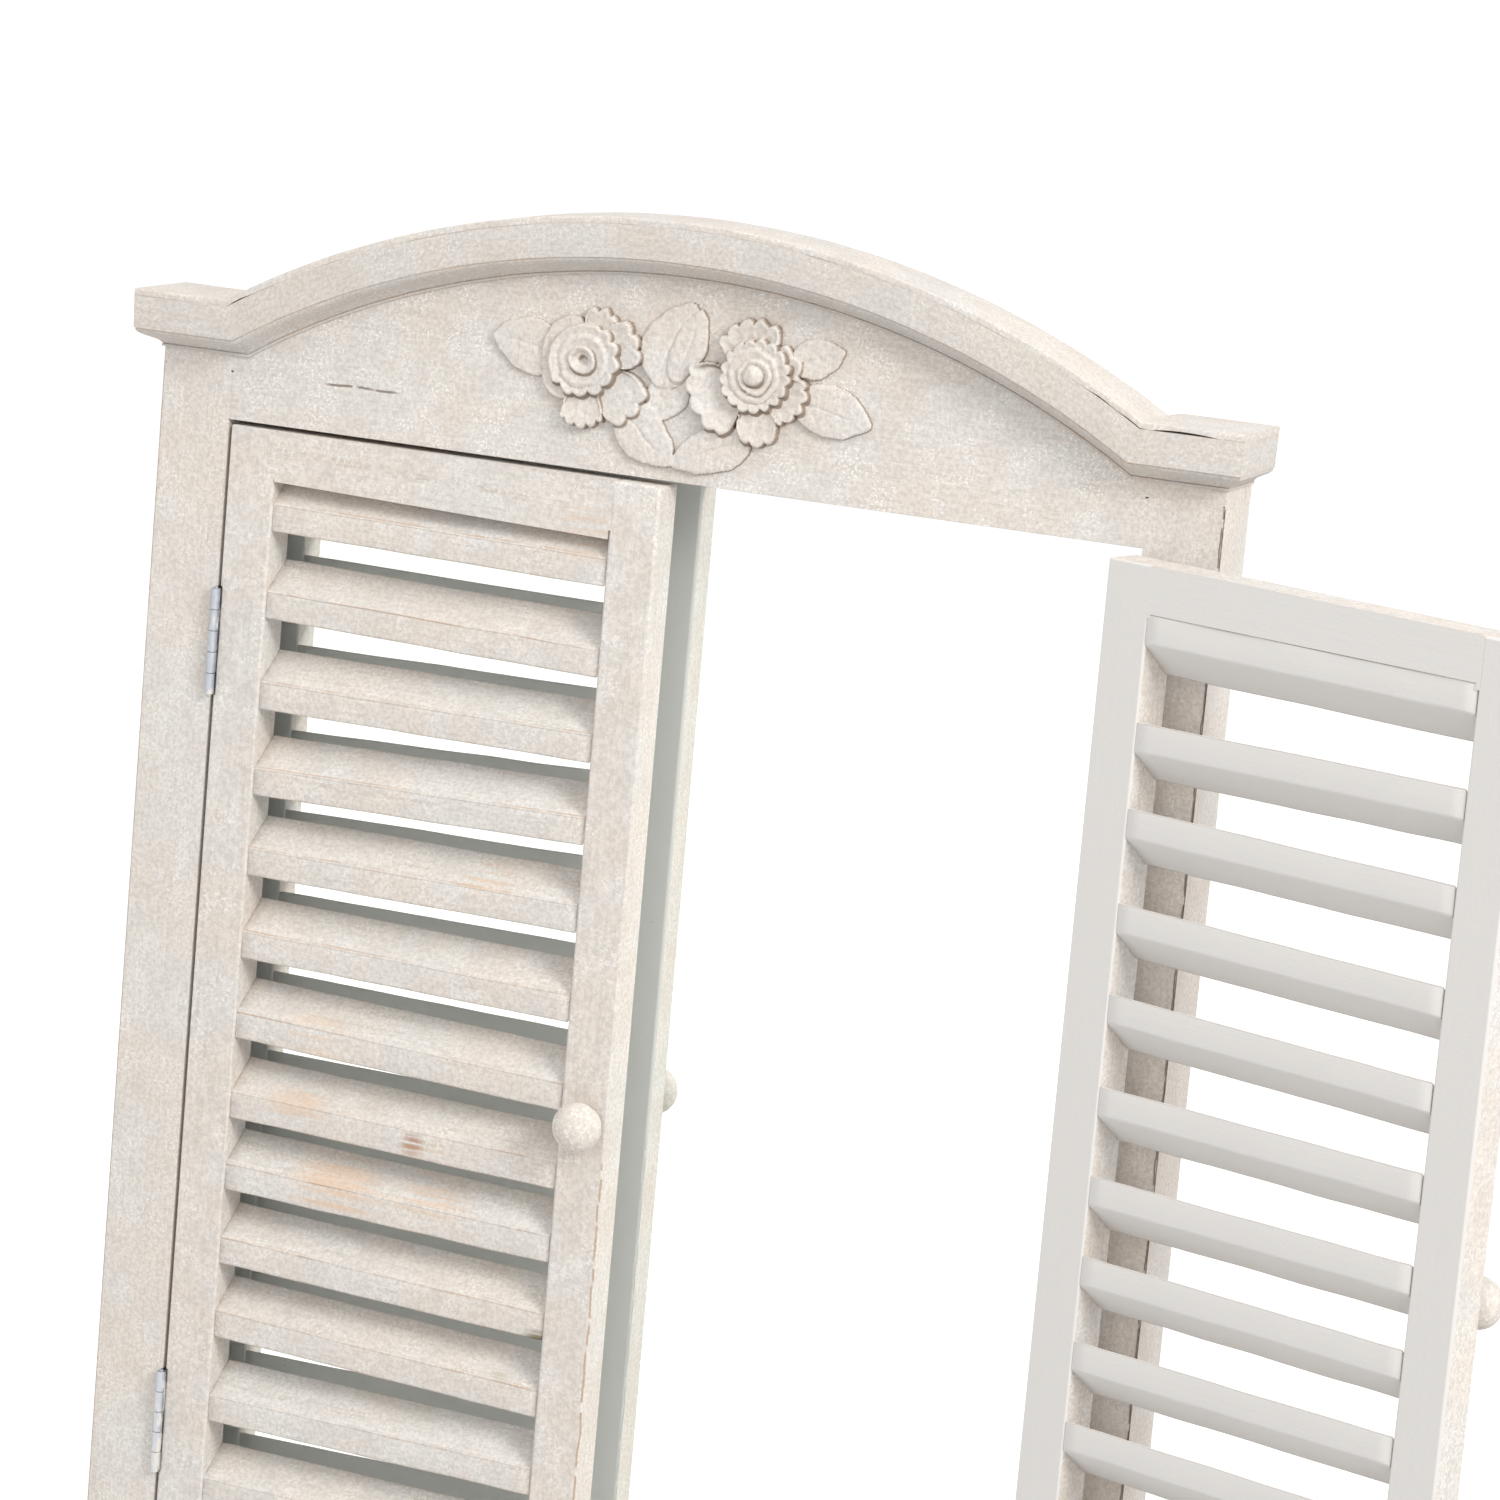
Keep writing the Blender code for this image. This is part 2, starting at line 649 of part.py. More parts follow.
def leaf_x(side, frame_side):
    """The two X limits of a leaf's plate, let into its mortise."""
    if frame_side:
        outer = INNER_X + LEAF_THICKNESS - GAP
        return sorted((side * outer, side * (outer - LEAF_THICKNESS)))
    inner = INNER_X - HINGE_SIDE_GAP - LEAF_THICKNESS + GAP
    return sorted((side * inner, side * (inner + LEAF_THICKNESS)))


def leaf_plate(name, level, side, middle, frame_side):
    """The flat of a leaf, behind the knuckles."""
    low_x, high_x = leaf_x(side, frame_side)
    half = HINGE_LENGTH / 2 - GAP / 2
    owner = "frame" if frame_side else "shutter"
    plate = new_object(
        f"{name}_{level}_{owner}_plate",
        box((low_x, FRONT + GAP, middle - half), (high_x, FRONT + LEAF_DEPTH, middle + half)),
        None, target=CUTTERS,
    )
    hide_cutter(plate)
    return plate


def leaf_tab(name, level, side, middle, number, frame_side):
    """The strip that joins one knuckle to its leaf's plate."""
    low_x, high_x = leaf_x(side, frame_side)
    low, high = knuckle_ends(number)
    owner = "frame" if frame_side else "shutter"
    tab = new_object(
        f"{name}_{level}_{owner}_tab_{number}",
        box((low_x, AXIS_Y, middle + low + GAP / 3), (high_x, FRONT + 0.003, middle + high - GAP / 3)),
        None, target=CUTTERS,
    )
    hide_cutter(tab)
    return tab


clear_scene()
PARTS = new_collection(OBJECT_NAME)
CUTTERS = new_collection("cutters")

build_posts()
build_rails()
build_pediment()
build_moulding()
build_cap()
build_backing()
build_hangers()
build_applique()
for shutter_name, shutter_side in (("left", -1), ("right", 1)):
    shutter_axis = build_shutter(shutter_name, shutter_side)
    for hinge_level, hinge_drop in zip(("upper", "lower"), HINGE_DROPS):
        build_hinge(shutter_name, shutter_side, hinge_level, hinge_drop, shutter_axis)
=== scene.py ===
"""Looks of the shuttered wall mirror: whitewashed wood, carved roses, glass, hinges and light."""
import json
import math

import bmesh
import bpy
import numpy as np
from mathutils import Matrix, Vector, noise


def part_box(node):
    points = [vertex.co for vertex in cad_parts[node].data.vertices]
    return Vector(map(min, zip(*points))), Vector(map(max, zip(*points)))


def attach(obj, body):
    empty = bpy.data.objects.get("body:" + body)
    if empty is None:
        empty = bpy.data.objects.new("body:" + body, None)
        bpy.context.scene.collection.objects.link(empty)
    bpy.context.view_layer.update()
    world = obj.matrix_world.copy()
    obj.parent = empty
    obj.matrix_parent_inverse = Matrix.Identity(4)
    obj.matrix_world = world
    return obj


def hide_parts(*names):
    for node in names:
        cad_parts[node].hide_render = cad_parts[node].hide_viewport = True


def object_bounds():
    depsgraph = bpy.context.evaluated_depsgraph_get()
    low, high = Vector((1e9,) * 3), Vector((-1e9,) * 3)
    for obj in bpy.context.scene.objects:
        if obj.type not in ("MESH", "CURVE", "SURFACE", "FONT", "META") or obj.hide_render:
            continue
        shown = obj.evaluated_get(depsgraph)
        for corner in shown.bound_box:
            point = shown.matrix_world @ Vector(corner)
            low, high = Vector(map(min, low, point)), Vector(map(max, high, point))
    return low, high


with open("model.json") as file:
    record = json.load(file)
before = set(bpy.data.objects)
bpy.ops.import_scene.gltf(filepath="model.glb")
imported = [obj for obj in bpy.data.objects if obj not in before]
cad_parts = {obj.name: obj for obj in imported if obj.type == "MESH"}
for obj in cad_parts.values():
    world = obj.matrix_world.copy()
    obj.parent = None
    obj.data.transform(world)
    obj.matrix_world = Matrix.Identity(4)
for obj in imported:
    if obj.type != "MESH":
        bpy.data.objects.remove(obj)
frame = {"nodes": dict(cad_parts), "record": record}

cad_low, cad_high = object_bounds()
noise.seed_set(3)  # the same unevenness every time

MM = 0.001
WELD = 0.01 * MM  # vertices closer than this are one
HAIR = 0.02 * MM  # the least gap that keeps two faces apart
HALF_JOINT = 0.15 * MM  # half the open joint between two boards

# ---- places taken from the frame ------------------------------------------
BOARD_LOW, BOARD_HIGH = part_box("pediment_board")
SILL_LOW, SILL_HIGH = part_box("frame_bottom_rail")
FRONT = BOARD_LOW.y
HALF_WIDTH = BOARD_HIGH.x
INNER_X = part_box("right_post_face_board")[0].x
OPENING_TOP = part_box("frame_top_rail")[0].z
OPENING_BOTTOM = SILL_HIGH.z
BOARD_BOTTOM = BOARD_LOW.z
JOINTS = {joint["name"].split("_")[0]: joint for joint in frame["record"]["behaviour"]["joints"]}
SIDES = {"left": -1, "right": 1}
HEADER_SEAM = BOARD_BOTTOM - HALF_JOINT
SHUTTER_THICKNESS = 18 * MM
STILE_WIDTH = 23.2 * MM
SHUTTER_WIDTH = 212.8 * MM
SHUTTER_CLEARANCE = 2.1 * MM
HINGE_SIDE_GAP = 1.5 * MM
KNOB_FROM_HINGE = 203.4 * MM

# ---- cornice --------------------------------------------------------------
ARCH_CENTRE = OPENING_TOP - 306.5 * MM
ARCH_RADIUS = 394.3 * MM
FLAT_LINE = OPENING_TOP + 29 * MM
MOULDING_HEIGHT = 22.5 * MM
MOULDING_PROJECTION = 14.5 * MM
RETURN_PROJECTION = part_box("cornice_moulding")[1].x - HALF_WIDTH
CAP_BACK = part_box("cornice_cap")[1].y
CAP_THICKNESS = 2.7 * MM
ARCH_STEPS = 120
CORNICE_FLAT_STEPS = 6
CAP_FLAT_STEPS = 24

# ---- colours, linear ------------------------------------------------------
WARM_WASH = (0.696, 0.640, 0.586)
COOL_WASH = (0.680, 0.652, 0.618)
CHALK = (0.860, 0.840, 0.805)
RUBBED = (0.560, 0.480, 0.410)
BARE_WOOD = (0.640, 0.440, 0.290)
GREY_PAINT = (0.705, 0.688, 0.668)
# grime brown for the painted shade that ambient occlusion puts in corners and cuts
SHADE_AND_GRIME = (0.210, 0.150, 0.105)
WORN_ARRIS = (0.470, 0.290, 0.170)
# dirt brown for the painted shade, with some dirt, below and right of raised carving
CARVING_SHADE_AND_DIRT = (0.230, 0.165, 0.115)
CRACK = (0.110, 0.066, 0.040)
BROWN_CRACK = (0.420, 0.240, 0.120)
DULL_ZINC = (0.36, 0.39, 0.44)
BRIGHT_ZINC = (0.60, 0.62, 0.66)
PAINT_SMEAR = (0.68, 0.66, 0.62)
SILVER = (0.925, 0.950, 0.938)
FOXING = (0.42, 0.40, 0.36)
DARK_HARDBOARD = (0.150, 0.085, 0.045)
BROWN_HARDBOARD = (0.300, 0.190, 0.110)
FADED_HARDBOARD = (0.36, 0.25, 0.16)


# ---- node recipes ---------------------------------------------------------
class Recipe:
    """A material's node tree, built by short calls that return sockets."""

    def __init__(self, name):
        self.material = bpy.data.materials.new(name)
        self.material.use_nodes = True
        self.nodes = self.material.node_tree.nodes
        self.links = self.material.node_tree.links
        self.shader = self.nodes["Principled BSDF"]
        self.coordinates = self.nodes.new("ShaderNodeTexCoord")

    def put(self, socket, value):
        if isinstance(value, bpy.types.NodeSocket):
            self.links.new(value, socket)
        elif isinstance(value, tuple) and socket.type == "RGBA":
            socket.default_value = (*value, 1.0)
        else:
            socket.default_value = value

    def node(self, kind, values=(), output=0, **settings):
        made = self.nodes.new(kind)
        for setting, value in settings.items():
            setattr(made, setting, value)
        for key, value in dict(values).items():
            self.put(made.inputs[key], value)
        return made.outputs[output]

    def surface(self, **values):
        for name, value in values.items():
            self.put(self.shader.inputs[name.replace("_", " ")], value)
        return self.material

    def scaled(self, vector, factors):
        return self.node("ShaderNodeVectorMath", {0: vector, 1: factors}, operation="MULTIPLY")

    def turned(self, vector, angle):
        return self.node("ShaderNodeVectorRotate", {"Vector": vector, "Angle": angle}, rotation_type="Z_AXIS")

    def noise(self, vector, detail=2.0, roughness=0.5, distortion=0.0):
        values = {"Vector": vector, "Scale": 1.0, "Detail": detail, "Roughness": roughness,
                  "Distortion": distortion}
        return self.node("ShaderNodeTexNoise", values)

    def step(self, value, low, high, start=0.0, end=1.0):
        values = {"Value": value, "From Min": low, "From Max": high, "To Min": start, "To Max": end}
        return self.node("ShaderNodeMapRange", values, interpolation_type="SMOOTHSTEP")

    def maths(self, a, b, operation="ADD"):
        return self.node("ShaderNodeMath", {0: a, 1: b}, operation=operation)

    def times(self, *factors):
        product = factors[0]
        for factor in factors[1:]:
            product = self.maths(product, factor, "MULTIPLY")
        return product

    def mix(self, share, a, b, blend="MIX"):
        values = {0: share, 6: a, 7: b}
        return self.node("ShaderNodeMix", values, output=2, data_type="RGBA", blend_type=blend)

    def near(self, vector, centre, radius):
        """1 at a centre, falling to 0 at a radius."""
        gap = self.node("ShaderNodeVectorMath", {0: vector, 1: centre}, output=1, operation="DISTANCE")
        return self.step(gap, radius, radius * 0.25)

    def bump(self, height, distance, strength=1.0):
        return self.node("ShaderNodeBump", {"Height": height, "Distance": distance, "Strength": strength})


def whitewash(name, grain="upright", turn=0.0, back=None, stains=(), splits=(), seams=(), crack=CRACK,
              tone=1.0, chalky=1.0, streaky=0.34, rubbing=0.18,
              along_uv=False, carved=False, worn_arris=False):
    """Thin white paint, brushed on pine and rubbed back.

    grain: "upright" runs along Z and "level" along X, turned by an angle about Z.
    back: the direction that the plain grey painted side faces, if there is one.
    stains: (centre, radius, colour, strength) marks.  splits: (x, low z, high z) open cracks.
    seams: (z, low x, high x) broken cracks along a joint.  crack: the colour of both.
    tone, chalky, streaky, rubbing: how light, dusted, streaked and rubbed back the paint is.
    along_uv: follow the piece's own UV map.  carved: darken with the painted shade and dirt stored on the
    carving, and deepen the painted shade from ambient occlusion.
    worn_arris: rub bare wood through along the marked arrises.
    """
    r = Recipe(name)
    place = r.coordinates.outputs["UV"] if along_uv else r.coordinates.outputs["Object"]
    board = r.turned(place, -turn) if turn else place

    def fibres(across, length):
        return r.scaled(board, (across, across, length) if grain == "upright" else (length, across, across))

    # warm and cool patches, with worn streaks along the grain
    patches = r.noise(r.scaled(board, (21, 21, 21)), detail=3, roughness=0.6)
    colour = r.mix(r.step(patches, 0.40, 0.62), WARM_WASH, COOL_WASH)
    clouds = r.noise(r.scaled(board, (55, 55, 55)), detail=3, roughness=0.65)
    streaks = r.noise(fibres(300, 11), detail=3, roughness=0.6)
    worn = r.times(r.step(streaks, 0.50, 0.70), r.step(clouds, 0.40, 0.64), streaky)
    colour = r.mix(worn, colour, RUBBED)
    colour = r.mix(r.times(r.step(clouds, 0.56, 0.34), 0.16), colour, RUBBED)

    # fine fibres and stipple, then a dusting of chalk
    fine = r.noise(fibres(1100, 60), detail=3, roughness=0.7)
    stipple = r.noise(r.scaled(board, (520, 520, 520)), detail=3, roughness=0.72)
    speckle = r.maths(r.step(fine, 0.30, 0.70, -0.045, 0.040), r.step(stipple, 0.36, 0.64, 0.885, 1.065))
    shades = r.node("ShaderNodeCombineColor", {key: r.times(speckle, tone) for key in (0, 1, 2)})
    colour = r.mix(1.0, colour, shades, "MULTIPLY")
    dots = r.noise(r.scaled(board, (760, 760, 760)), detail=2, roughness=0.6)
    chalk = r.times(r.step(dots, 0.53, 0.62), r.step(clouds, 0.44, 0.60), 0.62 * chalky)
    colour = r.mix(chalk, colour, CHALK)

    # rubbed arrises, where the rounded normal leaves the face's own
    normal = r.node("ShaderNodeNewGeometry", output=1)
    rounded_normal = r.node("ShaderNodeBevel", {"Radius": 1.0 * MM}, samples=4)
    facing = r.node("ShaderNodeVectorMath", {0: normal, 1: rounded_normal}, output=1, operation="DOT_PRODUCT")
    rub = r.times(r.step(facing, 0.985, 0.86), r.step(clouds, 0.46, 0.60), rubbing)
    colour = r.mix(rub, colour, BARE_WOOD)

    for centre, radius, tint, strength in stains:
        spread = r.times(r.near(board, centre, radius), r.step(streaks, 0.42, 0.58), strength)
        colour = r.mix(spread, colour, tint)

    if worn_arris:
        arris = r.node("ShaderNodeAttribute", output=2, attribute_name="arris")
        patchy = r.step(r.noise(r.scaled(board, (13, 13, 13)), detail=2), 0.46, 0.56)
        broken = r.step(r.noise(fibres(160, 40), detail=3, roughness=0.7), 0.42, 0.52)
        colour = r.mix(r.times(r.step(arris, 0.70, 0.98), patchy, broken, 0.62), colour, WORN_ARRIS)

    # open cracks
    line = 0.0
    for x, low, high in splits:
        line = r.maths(line, split_line(r, board, 0, x, low, high, 0.5 * MM), "MAXIMUM")
    for z, low, high in seams:
        line = r.maths(line, split_line(r, board, 2, z, low, high, 0.75 * MM), "MAXIMUM")
    colour = r.mix(r.times(line, 0.70), colour, crack)

    if back is not None:
        outward = r.coordinates.outputs["Normal"]
        facing_back = r.node("ShaderNodeVectorMath", {0: outward, 1: back}, output=1, operation="DOT_PRODUCT")
        colour = r.mix(r.step(facing_back, 0.35, 0.60), colour, GREY_PAINT)

    # painted shade in the cuts and corners: on carving, the stored painted shade and dirt; then ambient
    # occlusion darkens corners towards a grime brown
    reach, amount = (2.2 * MM, 0.60) if carved else (3.0 * MM, 0.16)
    if carved:
        # painted shade and dirt where the carving drops away below raised parts
        shade_under_carving = r.node("ShaderNodeAttribute", output=2, attribute_name="carving_shade")
        colour = r.mix(r.times(r.step(shade_under_carving, 0.20, 0.85), 0.85), colour, CARVING_SHADE_AND_DIRT)
    shade = r.node("ShaderNodeAmbientOcclusion", {"Distance": reach}, output=1, samples=6)
    colour = r.mix(r.times(r.step(shade, 0.62, 0.15), amount), colour, SHADE_AND_GRIME)

    height = r.maths(r.times(fine, 0.40), r.times(stipple, 0.75))
    height = r.maths(height, r.times(streaks, 0.55))
    height = r.maths(height, r.times(line, -2.2))
    roughness = r.step(clouds, 0.3, 0.7, 0.74, 0.9)
    return r.surface(Base_Color=colour, Roughness=roughness, Normal=r.bump(height, 0.20 * MM, 0.75))


def split_line(r, board, axis, at, low, high, half_width):
    """A thin wandering crack: across X (axis 0) it runs up Z, across Z (axis 2) it runs along X."""
    parts = r.node("ShaderNodeSeparateXYZ", {0: board}).node
    run = parts.outputs[2 - axis]
    factors = (0, 0, 60) if axis == 0 else (75, 0, 0)
    wander = r.noise(r.scaled(board, factors), detail=3)
    centre = r.maths(r.times(r.maths(wander, 0.5, "SUBTRACT"), 2.4 * MM), at)
    offset = r.maths(parts.outputs[axis], centre, "SUBTRACT")
    gap = r.node("ShaderNodeMath", {0: offset}, operation="ABSOLUTE")
    width = r.step(gap, half_width, half_width * 0.3)
    broken = r.step(r.noise(r.scaled(board, tuple(f * 1.7 for f in factors)), detail=1), 0.38, 0.46)
    ends = r.times(r.step(run, low, low + 6 * MM), r.step(run, high, high - 6 * MM))
    return r.times(width, ends, broken)


def zinc():
    """Dull plated zinc with smears of paint."""
    r = Recipe("zinc_hinge_metal")
    place = r.coordinates.outputs["Object"]
    cloud = r.noise(r.scaled(place, (260, 260, 260)), detail=4, roughness=0.65)
    smear = r.step(r.noise(r.scaled(place, (120, 120, 45)), detail=4, roughness=0.7), 0.50, 0.60)
    return r.surface(
        Base_Color=r.mix(smear, r.mix(cloud, DULL_ZINC, BRIGHT_ZINC), PAINT_SMEAR),
        Metallic=r.maths(1.0, smear, "SUBTRACT"),
        Roughness=r.step(cloud, 0.3, 0.7, 0.30, 0.55),
        Normal=r.bump(r.maths(cloud, smear), 0.12 * MM, 0.6),
    )


def silvered_glass():
    """Mirror silver, slightly green, with a few specks of foxing."""
    r = Recipe("silvered_mirror")
    place = r.coordinates.outputs["Object"]
    haze = r.noise(r.scaled(place, (14, 14, 14)), detail=3)
    spots = r.step(r.noise(r.scaled(place, (420, 420, 420)), detail=1), 0.80, 0.84)
    colour = r.mix(r.times(spots, 0.4), SILVER, FOXING)
    return r.surface(Base_Color=colour, Metallic=1.0, Roughness=r.step(haze, 0.3, 0.7, 0.004, 0.012))


def hardboard():
    """Brown hardboard with the mesh pressed into its rough side."""
    r = Recipe("brown_hardboard")
    place = r.coordinates.outputs["Object"]
    fluff = r.noise(r.scaled(place, (900, 900, 900)), detail=4, roughness=0.7)
    weave = r.node("ShaderNodeTexVoronoi", {"Vector": r.scaled(place, (1, 0, 1)), "Scale": 620.0})
    broad = r.noise(r.scaled(place, (6, 6, 6)), detail=3)
    colour = r.mix(fluff, DARK_HARDBOARD, BROWN_HARDBOARD)
    colour = r.mix(r.step(broad, 0.35, 0.7, 0.0, 0.35), colour, FADED_HARDBOARD)
    return r.surface(Base_Color=colour, Roughness=0.82, Normal=r.bump(r.maths(fluff, weave), 0.25 * MM, 0.8))


def floor_paper():
    """Plain white paper that glows a little, so that it stays white under the object."""
    r = Recipe("pale_studio_floor")
    grainy = r.noise(r.scaled(r.coordinates.outputs["Object"], (40, 40, 40)), detail=2)
    return r.surface(
        Base_Color=r.mix(grainy, (0.90, 0.90, 0.90), (0.93, 0.93, 0.925)),
        Roughness=0.9,
        Emission_Color=(1.0, 1.0, 1.0),
        Emission_Strength=0.30,
    )


# ---- mesh helpers ---------------------------------------------------------
def new_piece(name, bm, material, body, stands_for=(), smooth_angle=None):
    """Finish a bmesh as a piece that rides on a body."""
    mesh = bpy.data.meshes.new(name)
    bmesh.ops.recalc_face_normals(bm, faces=bm.faces)
    bm.to_mesh(mesh)
    bm.free()
    mesh.materials.append(material)
    if smooth_angle is not None:
        mesh.shade_smooth()
        mesh.set_sharp_from_angle(angle=math.radians(smooth_angle))
    obj = bpy.data.objects.new(name, mesh)
    bpy.context.scene.collection.objects.link(obj)
    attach(obj, body)
    if stands_for:
        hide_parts(*stands_for)
    return obj


def block(low, high):
    """A plain block between two corners."""
    bm = bmesh.new()
    size = [b - a for a, b in zip(low, high)]
    centre = [(a + b) / 2 for a, b in zip(low, high)]
    bmesh.ops.create_cube(bm, size=1.0, matrix=Matrix.Translation(centre) @ Matrix.Diagonal((*size, 1.0)))
    return bm


def turned_solid(profile, steps):
    """A solid turned about Z from (radius, height) points."""
    bm = bmesh.new()
    verts = [bm.verts.new((radius, 0.0, height)) for radius, height in profile]
    edges = [bm.edges.new(pair) for pair in zip(verts, verts[1:])]
    bmesh.ops.spin(bm, geom=verts + edges, cent=(0, 0, 0), axis=(0, 0, 1), angle=math.tau, steps=steps,
                   use_merge=True)
    bmesh.ops.remove_doubles(bm, verts=bm.verts, dist=WELD)
    return bm


def roughen(bm, frequency, amounts):
    """Make a surface a little uneven, by its own amount along each axis."""
    for vert in bm.verts:
        wobble = noise.noise_vector(vert.co * frequency)
        vert.co += Vector([reach * amount for reach, amount in zip(wobble, amounts)])


def swing(bm, shutter, way=1):
    """Take geometry made on a closed shutter to where that shutter rests, or back with way -1."""
    axis = Vector(JOINTS[shutter]["pos_m"])
    turn = Matrix.Rotation(way * rest_angle(shutter), 4, "Z")
    about_axis = Matrix.Translation(axis) @ turn @ Matrix.Translation(-axis)
    bmesh.ops.transform(bm, matrix=about_axis, verts=bm.verts)
    return bm


def rest_angle(shutter):
    """How far a shutter stands turned from closed, about Z."""
    return SIDES[shutter] * math.radians(-JOINTS[shutter]["range_deg"][0])


def sweep(bm, profile, stations, lengths):
    """A profile carried through stations; UV maps the path's length and the way round the profile."""
    uv = bm.loops.layers.uv.new("board")
    girth = [0.0]
    for first, second in zip(profile, profile[1:] + profile[:1]):
        girth.append(girth[-1] + (Vector(second) - Vector(first)).length)
    rings = [[bm.verts.new(place(*point)) for point in profile] for place in stations]
    count = len(profile)
    for k in range(len(rings) - 1):
        for i in range(count):
            j = (i + 1) % count
            face = bm.faces.new((rings[k][i], rings[k][j], rings[k + 1][j], rings[k + 1][i]))
            for loop, corner in zip(face.loops, ((k, i), (k, i + 1), (k + 1, i + 1), (k + 1, i))):
                loop[uv].uv = (lengths[corner[0]], girth[corner[1]])
    for ring, at in ((rings[0], lengths[0]), (rings[-1], lengths[-1])):
        face = bm.faces.new(ring)
        for loop, (projection, height) in zip(face.loops, profile):
            loop[uv].uv = (at + projection, height)


# ---- cornice --------------------------------------------------------------
def junction_x(height):
    """Where a flat end meets the arch, at a height above the moulding's lower line."""
    radius = ARCH_RADIUS + height
    rise = FLAT_LINE + height - ARCH_CENTRE
    return math.sqrt(radius * radius - rise * rise)


def arch_place(share, height):
    """X and Z at a share of the way over the arch, at a height above the moulding's lower line."""
    radius = ARCH_RADIUS + height
    half = math.asin(junction_x(height) / radius)
    angle = -half + 2 * half * share
    return radius * math.sin(angle), ARCH_CENTRE + radius * math.cos(angle)


def moulding_path():
    """Stations and lengths along the moulding: return, flat end, arch, flat end, return.

    A station gives the place of a profile point, from its projection and its height.
    """
    side_share = RETURN_PROJECTION / MOULDING_PROJECTION
    stations = []
    lengths = []

    def add(place, length):
        stations.append(place)
        lengths.append(length)

    def wall_end(sign):
        def place(projection, height):
            return sign * (HALF_WIDTH + projection * side_share), 0.0, FLAT_LINE + height
        return place

    def flat(sign, share):
        def place(projection, height):
            outer = HALF_WIDTH + projection * side_share
            x = sign * (outer * (1 - share) + junction_x(height) * share)
            return x, FRONT - projection, FLAT_LINE + height
        return place

    def arch(share):
        def place(projection, height):
            x, z = arch_place(share, height)
            return x, FRONT - projection, z
        return place

    return_length = -FRONT
    flat_length = HALF_WIDTH - junction_x(0)
    arch_length = 2 * ARCH_RADIUS * math.asin(junction_x(0) / ARCH_RADIUS)
    add(wall_end(-1), 0.0)
    for step in range(CORNICE_FLAT_STEPS):
        share = step / CORNICE_FLAT_STEPS
        add(flat(-1, share), return_length + flat_length * share)
    start = return_length + flat_length
    for step in range(ARCH_STEPS + 1):
        add(arch(step / ARCH_STEPS), start + arch_length * step / ARCH_STEPS)
    start += arch_length
    for step in range(1, CORNICE_FLAT_STEPS + 1):
        share = step / CORNICE_FLAT_STEPS
        add(flat(1, 1 - share), start + flat_length * share)
    add(wall_end(1), start + flat_length + return_length)
    return stations, lengths


def rounded(points, radii, steps=3):
    """An outline whose corners are each eased by a radius."""
    outline = []
    before_each = points[-1:] + points[:-1]
    after_each = points[1:] + points[:1]
    for before, corner, after, radius in zip(before_each, points, after_each, radii):
        corner = Vector(corner)
        into = Vector(before) - corner
        out = Vector(after) - corner
        reach = min(radius, into.length * 0.45, out.length * 0.45)
        start = corner + into.normalized() * reach
        end = corner + out.normalized() * reach
        for step in range(steps + 1):
            t = step / steps
            outline.append(tuple(start * (1 - t) ** 2 + corner * 2 * t * (1 - t) + end * t ** 2))
    return outline


def build_moulding(material):
    """The moulding: a small foot, an ogee and a flat fascia."""
    deep = MOULDING_PROJECTION
    inner = 0.2 * MM
    foot = [(1.5 * MM, 0.0), (1.5 * MM, 0.9 * MM), (0.9 * MM, 1.2 * MM), (1.5 * MM, 1.6 * MM)]
    ogee = []
    ogee_steps = 8
    for step in range(ogee_steps + 1):
        t = step / ogee_steps
        swell = 0.5 - 0.5 * math.cos(math.pi * t ** 0.85)
        ogee.append((2.0 * MM + (deep - 3.2 * MM) * swell, 1.9 * MM + 5.4 * MM * t))
    ogee += [(deep - 1.3 * MM, 7.8 * MM), (deep - 0.5 * MM, 8.0 * MM)]
    corners = [(deep, 8.4 * MM), (deep, MOULDING_HEIGHT), (inner, MOULDING_HEIGHT)]
    fascia = rounded(corners, (0.9 * MM, 0.15 * MM, 0.9 * MM))
    front_edge = [point for point in fascia if point[0] > deep * 0.5][4:]
    profile = [(inner, 0.0), *foot, *ogee, *front_edge, (inner, MOULDING_HEIGHT)]
    bm = bmesh.new()
    sweep(bm, profile, *moulding_path())
    roughen(bm, 55, (0.066 * MM, 0.22 * MM, 0.132 * MM))
    new_piece("cornice_moulding_worn", bm, material, "frame", ["cornice_moulding"], 35)


# where the cap lath has lifted off the moulding: from x, to x, and how far
LIFTED = ((190 * MM, 201 * MM, 0.7 * MM), (203 * MM, 216 * MM, 0.6 * MM), (219 * MM, 247 * MM, 1.0 * MM),
          (-213 * MM, -203 * MM, 0.7 * MM))


def lift_of(x):
    """How far the lath's underside has lifted at X."""
    lift = 0.0
    for start, end, height in LIFTED:
        if start < x < end:
            lift = max(lift, height * math.sin(math.pi * (x - start) / (end - start)) ** 0.6)
    return lift


